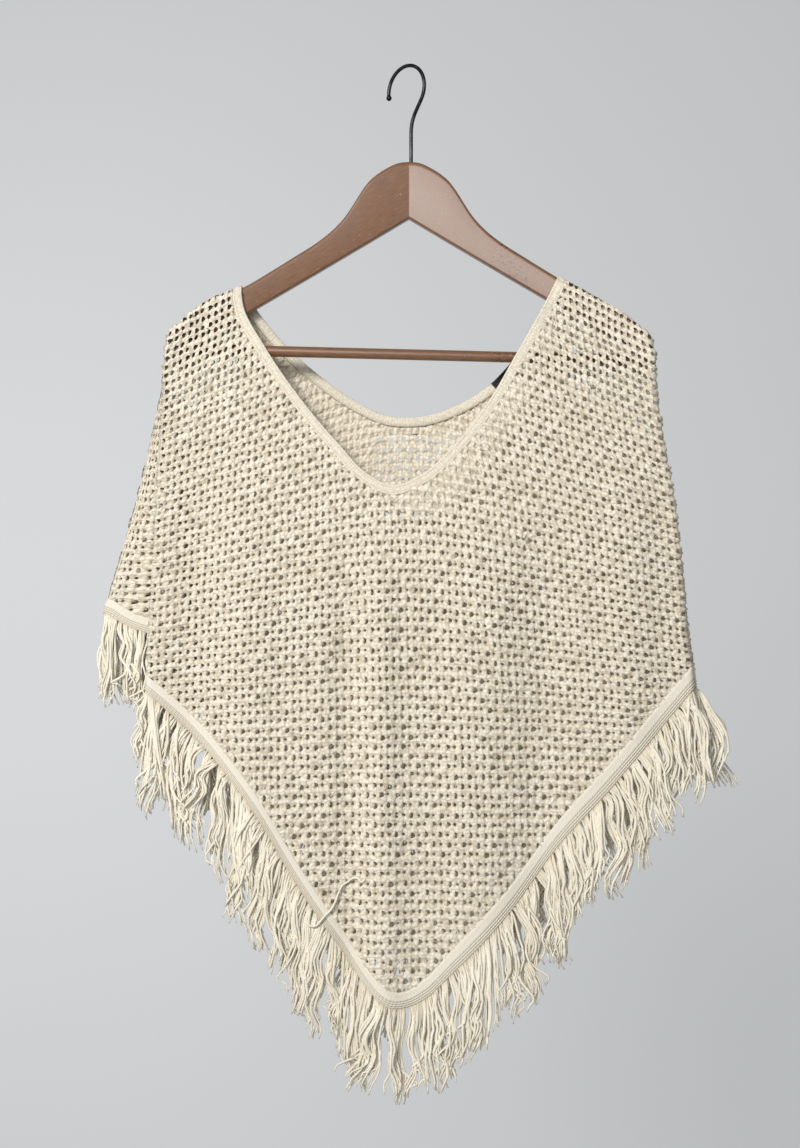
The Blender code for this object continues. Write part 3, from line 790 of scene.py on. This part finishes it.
def strands(centres, radii, sides=SIDES):
    """Tubes along centres (strand, station, 3) with radii (strand, station): points and quads."""
    count, stations = radii.shape
    ahead = np.gradient(centres, axis=1)
    ahead /= np.maximum(np.linalg.norm(ahead, axis=-1, keepdims=True), 1e-9)
    across = np.cross(ahead, np.array([0.0, 1.0, 0.0]))
    across /= np.maximum(np.linalg.norm(across, axis=-1, keepdims=True), 1e-9)
    third = np.cross(ahead, across)
    angles = np.arange(sides) * math.tau / sides + 0.4
    ring = (
        across[:, :, None] * np.cos(angles)[None, None, :, None]
        + third[:, :, None] * np.sin(angles)[None, None, :, None]
    )
    points = centres[:, :, None] + ring * radii[:, :, None, None]
    one = grid_quads(stations, sides, closed_rows=True)
    caps = [list(range(sides))[::-1], [(stations - 1) * sides + k for k in range(sides)]]
    one = np.concatenate([one, np.array(caps)])
    starts = np.arange(count)[:, None, None] * stations * sides
    return points.reshape(-1, 3), (one[None] + starts).reshape(-1, 4)


def fringe(sheet, pitch, plies):
    """Groups of strands: each group leaves one stitch of the hem, fans out, and falls in waves."""
    fine = np.linspace(sheet.first, sheet.last, 1500)
    line = sheet.point(fine, sheet.hem(fine)[0])
    way = np.r_[0, np.cumsum(np.linalg.norm(np.diff(line, axis=0), axis=1))]
    groups = np.arange(pitch / 2, way[-1], pitch)
    count = len(groups)
    group = np.repeat(np.arange(count), plies)
    n = len(group)
    root = np.interp(groups[group] + random.uniform(-0.42, 0.42, n) * pitch, way, fine)
    hem, _, lean, length = sheet.hem(root)
    start = sheet.point(root, hem + 1.0)
    share = np.linspace(0, 1, STATIONS)[None, :]
    clump = random.normal(0, 1, (6, count))[:, group]
    reach = length * (0.93 + 0.11 * clump[0] + random.uniform(-0.12, 0.06, n))
    reach = np.clip(reach, 0.55 * length, 1.06 * length)
    splay = lean * (0.4 + 0.18 * clump[1] + 0.2 * random.uniform(-1, 1, n))
    splay = (splay + random.normal(0, 1.0, n))[:, None]
    # The strands of a group wave together and part towards their tips.
    amp = np.abs(3.6 + 1.8 * clump[1] + random.normal(0, 0.4, n))[:, None]
    turns = (1.6 + 0.35 * clump[2] + random.normal(0, 0.06, n))[:, None]
    phase = (3.0 * clump[3] + random.normal(0, 0.25, n))[:, None]
    drift = (6.5 * clump[4] + random.normal(0, 1.6, n))[:, None]
    curled = random.uniform(0, 1, n) < CURLED
    curl = np.where(curled, random.normal(0, 1, n), 0.12 * clump[5])[:, None]
    tip = ease(share, 0.6, 1.0)
    wave = np.sin(math.tau * turns * share + phase) - np.sin(phase)
    kinks = random.normal(0, 0.3, (n, STATIONS)) * np.minimum(share * 3, 1)
    x = (
        start[:, :1]
        + splay * (1 - (1 - share) ** LEAVE)
        + drift * share**1.4
        + amp * wave * share**0.6
        + 7.0 * curl * np.sin(tip * 2.6)
        + kinks
    )
    depth_room = random.uniform(-3.2, 3.2, n)[:, None]
    y = (
        start[:, 1:2]
        + depth_room * np.minimum(share * 3.5, 1)
        + 0.5 * amp * np.cos(math.tau * turns * share * 0.8 + 2 * phase) * np.minimum(share * 2, 1)
        + np.roll(kinks, 3, axis=1)
    )
    z = start[:, 2:] - reach[:, None] * share ** (1.0 + 0.3 * np.minimum(np.abs(splay) / 30, 1))
    z = z + np.minimum(np.abs(curl) * 9.0, 13.0) * tip**2
    centres = np.stack([x, y, z], -1)
    thick = random.uniform(*STRAND, n)[:, None]
    radii = thick * (1.0 - 0.45 * share**4) * (0.75 + 0.25 * np.minimum(share * 5, 1))
    radii = radii * (1 + random.normal(0, 0.07, radii.shape))
    points, quads = strands(centres, radii)
    # Painted shade where the strands leave the band, and a random darker tone for each strand.
    painted_shade_and_tone = np.maximum(0.5 - share * 6, 0) + random.uniform(0, 0.25, (n, 1))
    painted_shade_and_tone = np.repeat(painted_shade_and_tone[..., None], SIDES, 2)
    along = share * length[:, None] / 10 + np.arange(n)[:, None]
    along = np.repeat(along[..., None], SIDES, 2)
    around = np.broadcast_to(np.arange(SIDES) / SIDES, along.shape)
    uv = np.stack([along, around], -1).reshape(-1, 2)
    return points, quads, painted_shade_and_tone.ravel(), uv


LOOSE_YARN = [
    # x, z: a pulled thread that lies over the front near its hem
    (-38.0, -757.0),
    (-41.0, -760.0),
    (-44.5, -756.8),
    (-49.0, -757.0),
    (-54.0, -760.5),
    (-59.0, -764.0),
    (-62.5, -771.0),
    (-65.0, -778.0),
    (-69.0, -785.0),
    (-74.0, -790.0),
    (-79.0, -796.0),
    (-83.5, -800.0),
    (-88.0, -799.5),
    (-91.0, -797.0),
    (-91.0, -793.0),
]


LOOSE_STATIONS = 44


def loose_yarn():
    rows = np.array(LOOSE_YARN)
    line = table([(k, x, z) for k, (x, z) in enumerate(rows)])
    at = np.linspace(0, len(rows) - 1, LOOSE_STATIONS)
    x, z = line(at)
    y = sheet_y(x, z, -1) - 3.2 - 1.6 * np.sin(at / at[-1] * math.pi)
    centres = np.stack([x, y, z], -1)[None]
    points, quads = strands(centres, np.full((1, LOOSE_STATIONS), 1.0))
    return points, quads, np.full(len(points), 0.05), np.zeros((len(points), 2))


def joined(name, parts, material):
    points, quads, painted_shades_and_tones, uvs = zip(*parts)
    firsts = np.cumsum([0] + [len(p) for p in points[:-1]])
    quads = [q + first for q, first in zip(quads, firsts)]
    mesh = mesh_of(name, *(np.concatenate(a) for a in (points, quads, painted_shades_and_tones, uvs)))
    return new_object(name, mesh, material)


# ---- label


def label(name, material):
    """A bare strip of woven tape on the inside of the back neckband."""
    inner, outer = NECK[1]
    x0 = np.linspace(80.0, 113.0, 34)
    drop = np.linspace(0.03, 0.97, 8)[None, :]
    zi = np.interp(x0, inner[:, 0], inner[:, 1])[:, None]
    xo = np.interp(x0, inner[:, 0], outer[:, 0])[:, None]
    zo = np.interp(x0, inner[:, 0], outer[:, 1])[:, None]
    x, z = mix(x0[:, None], xo, drop), mix(zi, zo, drop)
    front = np.stack([x, sheet_y(x, z, 1) - LABEL_OUT - LABEL / 2, z], -1)
    ripple = 0.25 * np.sin(x0 / 6.0)[:, None]
    front[..., 1] -= ripple
    back = front + np.array([0.0, LABEL, 0.0])
    loop = np.concatenate([front, back[:, ::-1]], axis=1)
    round_it = np.r_[drop[0], drop[0][::-1]][None, :]
    return lofted(name, loop, material, x0[:, None] / 10, round_it)


# ---- hanger

ARM_SMOOTH = 16  # rows of ARM on one smooth line. The others are the notch and the tip.
ARM_START, ARM_STATIONS = 0.02, 70
ARM_ROUND, ARM_FRONT_ROUND, ARM_UNDER_ROUND = 5.0, 2.6, 2.2  # radii of the arm's edges
SHARP = math.radians(50)  # a steeper edge on the hanger is drawn sharp


def arm(name, side, material):
    """The CAD arm's own sections with more of them between, and a rounder edge."""
    notch = np.array(ARM[ARM_SMOOTH:])
    inner = np.linspace(ARM_START, ARM[ARM_SMOOTH - 1][0], ARM_STATIONS)
    at = np.concatenate([inner, notch[:, 0]])
    top, bottom = table(ARM[:ARM_SMOOTH])(at)
    top[ARM_STATIONS:], bottom[ARM_STATIONS:] = notch[:, 1:].T
    x = CENTRE + side * at
    y = arm_y(x)
    half = ARM_THICK / 2
    reach = np.minimum(ARM_ROUND, (top - bottom) / 2 - 0.2)
    rings = []
    for quarter, (cy, cz) in enumerate(((1, 1), (-1, 1), (-1, -1), (1, -1))):
        for step in range(9):
            angle = math.radians(90 * quarter + 90 * step / 8)
            round_y = ARM_FRONT_ROUND if cy < 0 else ARM_ROUND
            round_z = np.minimum(reach, ARM_ROUND if cz > 0 else ARM_UNDER_ROUND)
            my = y + cy * (half - round_y)
            mz = (top - round_z) if cz > 0 else (bottom + round_z)
            ring_y, ring_z = my + round_y * math.cos(angle), mz + round_z * math.sin(angle)
            rings.append(np.stack([x, ring_y, ring_z], -1))
    points = np.stack(rings, 1)
    up = (points[..., 2] - bottom[:, None]) / 100
    obj = lofted(name, points, material, at[:, None] / 100, up)
    obj.data.set_sharp_from_angle(angle=SHARP)
    return obj


def round_tube(name, centres, radii, material, sides):
    centres, radii = np.array(centres, float), np.array(radii, float)
    ahead = np.gradient(centres, axis=0)
    ahead /= np.linalg.norm(ahead, axis=1)[:, None]
    across = np.cross(ahead[0], [0.3, 0.9, 0.1])
    rings = []
    for centre, radius, direction in zip(centres, radii, ahead):
        across = across - direction * (across @ direction)
        across /= np.linalg.norm(across)
        third = np.cross(direction, across)
        angles = np.arange(sides) * math.tau / sides
        ring = np.outer(np.cos(angles), across) + np.outer(np.sin(angles), third)
        rings.append(centre + radius * ring)
    points = np.array(rings)
    way = np.r_[0, np.cumsum(np.linalg.norm(np.diff(centres, axis=0), axis=1))]
    around = np.arange(sides)[None, :] / sides * 0.3
    obj = lofted(name, points, material, way[:, None] / 100, around)
    obj.data.set_sharp_from_angle(angle=SHARP)
    return obj


def hook_point(forward, z):
    return (
        STEM[0] + forward * math.sin(CROOK_TURN),
        STEM[1] - forward * math.cos(CROOK_TURN),
        z,
    )


def crook_point(angle):
    return hook_point(
        CROOK * math.cos(angle) - CROOK_OFFSET, WIRE / 2 - CROOK + CROOK * math.sin(angle)
    )


def hook(name, material):
    centre_z = WIRE / 2 - CROOK
    points = [hook_point(0.0, z) for z in np.linspace(STEM_END, STEM_TOP, 8)[:-1]]
    leave = math.radians(-32)
    start = np.array([0.0, STEM_TOP])
    end = np.array([CROOK * math.cos(leave) - CROOK_OFFSET, centre_z + CROOK * math.sin(leave)])
    way_in = start + np.array([0.0, 15.0])
    way_out = end - 15.0 * np.array([-math.sin(leave), math.cos(leave)])
    for s in np.arange(24) / 24:
        first_half = start * (1 - s) ** 3 + way_in * 3 * s * (1 - s) ** 2
        points.append(hook_point(*(first_half + way_out * 3 * s * s * (1 - s) + end * s**3)))
    bead_turn = math.degrees(BALL / CROOK) / 2
    last = 189.0
    for angle in np.radians(np.linspace(math.degrees(leave), last - bead_turn, 60)):
        points.append(crook_point(angle))
    radii = [WIRE / 2] * len(points)
    for along in np.linspace(0.04, 0.985, 14):
        angle = math.radians(last + mix(-bead_turn, bead_turn, along))
        points.append(crook_point(angle))
        radii.append(max(BALL / 2 * math.sqrt(1 - (2 * along - 1) ** 2), 0.3))
    return round_tube(name, points, radii, material, 20)


# ---- materials


class Nodes:
    """A material with a Principled shader, and short calls that add its other nodes."""

    def __init__(self, name):
        self.material = bpy.data.materials.new(name)
        self.material.use_nodes = True
        self.tree = self.material.node_tree
        self.shader = self.tree.nodes["Principled BSDF"]

    def add(self, kind, **settings):
        node = self.tree.nodes.new(kind)
        for key, value in settings.items():
            if key[0].isupper():
                node.inputs[key.replace("_", " ")].default_value = value
            else:
                setattr(node, key, value)
        return node

    def link(self, source, target):
        self.tree.links.new(source, target)

    def set(self, **values):
        for key, value in values.items():
            self.shader.inputs[key.replace("_", " ")].default_value = value

    def noise(self, vector, scale, detail=3.0, roughness=0.5):
        node = self.add("ShaderNodeTexNoise", Scale=scale, Detail=detail, Roughness=roughness)
        self.link(vector, node.inputs["Vector"])
        return node.outputs["Fac"]

    def place(self, scale=(1, 1, 1), uv=False):
        coords = self.add("ShaderNodeTexCoord")
        mapping = self.add("ShaderNodeMapping")
        mapping.inputs["Scale"].default_value = scale
        self.link(coords.outputs["UV" if uv else "Object"], mapping.inputs["Vector"])
        return mapping.outputs["Vector"]

    def mixed(self, fac, a, b):
        """The colour a, turned to b by fac. Each is a value or another node's output."""
        node = self.add("ShaderNodeMix", data_type="RGBA")
        # The colour sockets of a Mix node come after its float and vector ones.
        for index, value in ((0, fac), (6, a), (7, b)):
            if isinstance(value, (tuple, float)):
                node.inputs[index].default_value = value
            else:
                self.link(value, node.inputs[index])
        return node.outputs[2]

    def ramp(self, source, low, high):
        node = self.add("ShaderNodeMapRange")
        self.link(source, node.inputs["Value"])
        node.inputs["From Min"].default_value = low
        node.inputs["From Max"].default_value = high
        return node.outputs["Result"]

    def bump(self, height, strength, distance, before=None):
        node = self.add("ShaderNodeBump", Strength=strength, Distance=distance)
        self.link(height, node.inputs["Height"])
        if before is not None:
            self.link(before, node.inputs["Normal"])
        return node.outputs["Normal"]


def shade(colour, red, green, blue):
    return (colour[0] * red, colour[1] * green, colour[2] * blue, 1)


def yarn_material(name, light, shade_and_tone_colour, bump_mm=0.35, stitches=None):
    """Matt yarn: fibres as fine noise, slow changes of tone, and painted shade towards the darker
    colour where the mesh's per-point value says, with some random darker tone in the fringe.
    stitches gives the lumps to a unit of the UV map each way, and their height in millimetres, which
    also sets how dark the painted shade in their creases is."""
    m = Nodes(name)
    m.set(Roughness=0.88, Sheen_Weight=0.2, Sheen_Roughness=0.5, Specular_IOR_Level=0.2)
    m.shader.inputs["Sheen Tint"].default_value = (1.0, 0.97, 0.9, 1)
    painted_shade_and_tone = m.add("ShaderNodeAttribute", attribute_name="painted_shade_and_tone").outputs["Fac"]
    fibres = m.noise(m.place(), 1400, 4, 0.65)
    patches = m.noise(m.place(), 22, 3)
    colour = m.mixed(m.ramp(patches, 0.3, 0.7), light, shade(light, 0.94, 0.92, 0.88))
    colour = m.mixed(m.ramp(fibres, 0.35, 0.75), colour, shade(light, 0.86, 0.85, 0.82))
    normal = None
    if stitches:
        across, down, height = stitches
        lumps = m.add("ShaderNodeTexVoronoi", feature="F1", Scale=1.0, Randomness=0.6)
        m.link(m.place((across, down, 1), uv=True), lumps.inputs["Vector"])
        # Painted shade in the creases between the yarn's lumps, darker the higher the lumps are, at
        # most 0.62 of the way to the darker colour.
        crease_shade = m.ramp(lumps.outputs["Distance"], 0.42, 0.72)
        colour = m.mixed(crease_shade, colour, mixed_colour(light, shade_and_tone_colour, min(0.62, height)))
        normal = m.bump(m.ramp(lumps.outputs["Distance"], 0.75, 0.0), 1.0, height * MM)
    # Painted shade from the mesh's per-point value: pits, grooves and strand roots turn towards the
    # darker colour.
    m.link(m.mixed(painted_shade_and_tone, colour, shade_and_tone_colour), m.shader.inputs["Base Color"])
    m.link(m.bump(fibres, 0.5, bump_mm * MM, normal), m.shader.inputs["Normal"])
    return m.material


def mixed_colour(a, b, share):
    return tuple(mix(p, q, share) for p, q in zip(a, b))


def wood_material(name):
    m = Nodes(name)
    m.set(Coat_Weight=1.0, Coat_Roughness=0.38, Coat_IOR=1.37, Specular_IOR_Level=0.4)
    along = m.place((3.0, 42.0, 1.0), uv=True)
    fine = m.place((9.0, 160.0, 1.0), uv=True)
    grain = m.noise(along, 3.2, 6, 0.6)
    lines = m.noise(fine, 4.0, 4, 0.7)
    specks = m.noise(m.place(), 420, 2)
    dark, light = (0.110, 0.045, 0.018, 1), (0.225, 0.110, 0.046, 1)
    base = m.mixed(m.ramp(grain, 0.32, 0.68), dark, light)
    mottle = m.noise(m.place(), 48, 4, 0.65)
    base = m.mixed(m.ramp(mottle, 0.5, 0.75), base, (0.15, 0.075, 0.045, 1))
    base = m.mixed(m.ramp(lines, 0.52, 0.8), base, (0.075, 0.03, 0.018, 1))
    base = m.mixed(m.ramp(specks, 0.70, 0.78), base, (0.42, 0.27, 0.19, 1))
    # Small dark scratches on the front's right arm, a third of the way out
    across = m.add("ShaderNodeSeparateXYZ")
    m.link(m.place(), across.inputs["Vector"])
    marks = m.ramp(m.noise(m.place((1, 1, 1.8)), 260, 3, 0.75), 0.55, 0.61)
    for start, end in ((0.074, 0.082), (0.122, 0.112)):
        product = m.add("ShaderNodeMath", operation="MULTIPLY")
        m.link(marks, product.inputs[0])
        m.link(m.ramp(across.outputs["X"], start, end), product.inputs[1])
        marks = product.outputs["Value"]
    base = m.mixed(marks, base, (0.035, 0.016, 0.012, 1))
    m.link(base, m.shader.inputs["Base Color"])
    m.link(m.ramp(grain, -0.6, 1.9), m.shader.inputs["Roughness"])
    m.link(m.bump(lines, 0.25, 0.15 * MM), m.shader.inputs["Normal"])
    return m.material


def metal_material(name):
    m = Nodes(name)
    m.set(Metallic=1.0, Roughness=0.2)
    wear = m.noise(m.place((1, 1, 0.4)), 260, 4)
    dark, worn = (0.028, 0.028, 0.030, 1), (0.07, 0.068, 0.068, 1)
    m.link(m.mixed(m.ramp(wear, 0.45, 0.75), dark, worn), m.shader.inputs["Base Color"])
    m.link(m.ramp(wear, -1.2, 3.4), m.shader.inputs["Roughness"])
    m.link(m.bump(wear, 0.15, 0.1 * MM), m.shader.inputs["Normal"])
    return m.material


def label_material(name):
    m = Nodes(name)
    m.set(Roughness=0.75, Specular_IOR_Level=0.3)
    weave = m.add("ShaderNodeTexWave", wave_type="BANDS", Scale=26.0, Distortion=0.4)
    weave.bands_direction = "DIAGONAL"
    m.link(m.place(uv=True), weave.inputs["Vector"])
    dark, light = (0.010, 0.010, 0.011, 1), (0.030, 0.029, 0.030, 1)
    m.link(m.mixed(weave.outputs["Fac"], dark, light), m.shader.inputs["Base Color"])
    m.link(m.bump(weave.outputs["Fac"], 0.3, 0.1 * MM), m.shader.inputs["Normal"])
    return m.material


def wall_material(name, colour):
    m = Nodes(name)
    m.set(Roughness=0.95, Specular_IOR_Level=0.1, Emission_Color=colour, Emission_Strength=1.12)
    patches = m.ramp(m.noise(m.place(), 3, 3), 0.2, 0.8)
    darker = shade(colour, 0.985, 0.985, 0.985)
    m.link(m.mixed(patches, colour, darker), m.shader.inputs["Base Color"])
    return m.material


# ---- camera, light and surroundings


def look_at(obj, target):
    direction = Vector(target) - obj.location
    obj.rotation_euler = direction.to_track_quat("-Z", "Y").to_euler()


def add_camera():
    data = bpy.data.cameras.new("camera")
    data.lens = 49.7
    data.sensor_fit = "AUTO"
    data.sensor_width = 36.0
    camera = bpy.data.objects.new("camera", data)
    camera.location = (-0.006, -1.5, -0.479)
    camera.rotation_euler = (math.radians(90), 0.0, 0.0)
    bpy.context.scene.collection.objects.link(camera)
    bpy.context.scene.camera = camera


def add_light(name, place, target, size, power, colour=(1, 1, 1)):
    data = bpy.data.lights.new(name, "AREA")
    data.shape = "RECTANGLE"
    data.size, data.size_y = size
    data.energy = power
    data.color = colour
    light = bpy.data.objects.new(name, data)
    light.location = place
    look_at(light, target)
    bpy.context.scene.collection.objects.link(light)


def add_surroundings():
    world = bpy.data.worlds.new("room")
    bpy.context.scene.world = world
    world.use_nodes = True
    background = world.node_tree.nodes["Background"]
    background.inputs["Color"].default_value = (0.93, 0.96, 1.0, 1)
    background.inputs["Strength"].default_value = 0.28
    wall_y, floor_z, turn = 2.4, -2.3, 0.4
    outline = [(-3.5, floor_z), (wall_y - turn, floor_z)]
    for step in range(1, 13):
        angle = math.radians(90 * step / 12)
        y, z = turn * math.sin(angle), turn * (1 - math.cos(angle))
        outline.append((wall_y - turn + y, floor_z + z))
    outline.append((wall_y, 2.6))
    points = [(x, y, z) for x in (-5.0, 5.0) for y, z in outline]
    quads = grid_quads(2, len(outline))
    mesh = bpy.data.meshes.new("backdrop")
    mesh.from_pydata(points, [], quads.tolist())
    mesh.materials.append(wall_material("plaster", (0.295, 0.301, 0.305, 1)))
    mesh.shade_smooth()
    backdrop = bpy.data.objects.new("backdrop", mesh)
    bpy.context.scene.collection.objects.link(backdrop)
    middle = (0.0, 0.0, -0.5)
    add_light("window", (-2.3, -1.0, 0.0), middle, (1.4, 1.9), 6, (0.98, 0.99, 1.0))
    add_light("key", (-0.95, -2.1, 0.5), middle, (0.45, 0.45), 48, (1.0, 0.98, 0.95))
    add_light("sheen", (-0.5, -2.6, 0.35), (0.0, 0.0, -0.3), (1.0, 1.2), 23, (1.0, 0.955, 0.97))
    add_light("wall", (-0.98, 0.5, -0.5), (-0.98, 2.4, -0.5), (0.8, 1.4), 22, (1.0, 1.0, 1.0))
    view = bpy.context.scene.view_settings
    view.view_transform = "Standard"
    view.look = "None"
    view.exposure = 0.0


# ---- the whole


def main():
    # Each yarn: its own colour, then the darker colour that its painted shade turns it towards.
    light, shade_and_tone_colour = (0.83, 0.78, 0.665, 1), (0.35, 0.28, 0.175, 1)
    knit_yarn = yarn_material("cream_knit", light, shade_and_tone_colour, 0.3, (2.0, 2.6, 0.9))
    light, shade_and_tone_colour = (0.83, 0.785, 0.67, 1), (0.34, 0.28, 0.19, 1)
    neck_yarn = yarn_material("cream_edge", light, shade_and_tone_colour, 0.25, (4.2, 4.2, 0.4))
    light, shade_and_tone_colour = (0.79, 0.75, 0.645, 1), (0.30, 0.25, 0.17, 1)
    band_yarn = yarn_material("cream_rib", light, shade_and_tone_colour, 0.25, (5.5, 3.2, 0.2))
    loose = yarn_material("cream_yarn", (0.89, 0.85, 0.735, 1), (0.46, 0.38, 0.24, 1))
    wood = wood_material("brown_wood")
    metal = metal_material("black_metal")
    tape = label_material("dark_tape")

    front = knit("front_knit", FRONT, knit_yarn)
    back = knit("back_knit", BACK, knit_yarn)
    neck = neckband("neck_rib", neck_yarn)
    band_front = hem_band("hem_rib_front", FRONT, band_yarn)
    band_back = hem_band("hem_rib_back", BACK, band_yarn)
    yarn_front = joined("yarn_fringe_front", [fringe(FRONT, 9.4, 10), loose_yarn()], loose)
    yarn_back = joined("yarn_fringe_back", [fringe(BACK, 9.6, 9)], loose)
    tag = label("label_tape", tape)
    arms = [arm("wood_arm_left", -1, wood), arm("wood_arm_right", 1, wood)]
    ends = [(CENTRE - BAR_END, BAR_Y, BAR_LEFT_Z), (CENTRE + BAR_END, BAR_Y, BAR_RIGHT_Z)]
    line = [tuple(mix(a, b, s) for a, b in zip(*ends)) for s in np.linspace(0, 1, 24)]
    bar = round_tube("wood_bar", line, [BAR / 2] * 24, wood, 32)
    wire = hook("metal_hook", metal)

    for piece, node, slot in (
        (front, "front_panel", "knit"),
        (back, "back_panel", "knit"),
        (neck, "neckband", "band"),
        (band_front, "hem_band_front", "band"),
        (band_back, "hem_band_back", "band"),
        (yarn_front, "fringe_front", "yarn"),
        (yarn_back, "fringe_back", "yarn"),
        (tag, "neck_label", "label"),
        (arms[0], "hanger_arm_left", "wood"),
        (arms[1], "hanger_arm_right", "wood"),
        (bar, "hanger_bar", "wood"),
        (wire, "hanger_hook", "metal"),
    ):
        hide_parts(node)
    add_surroundings()
    add_camera()


main()
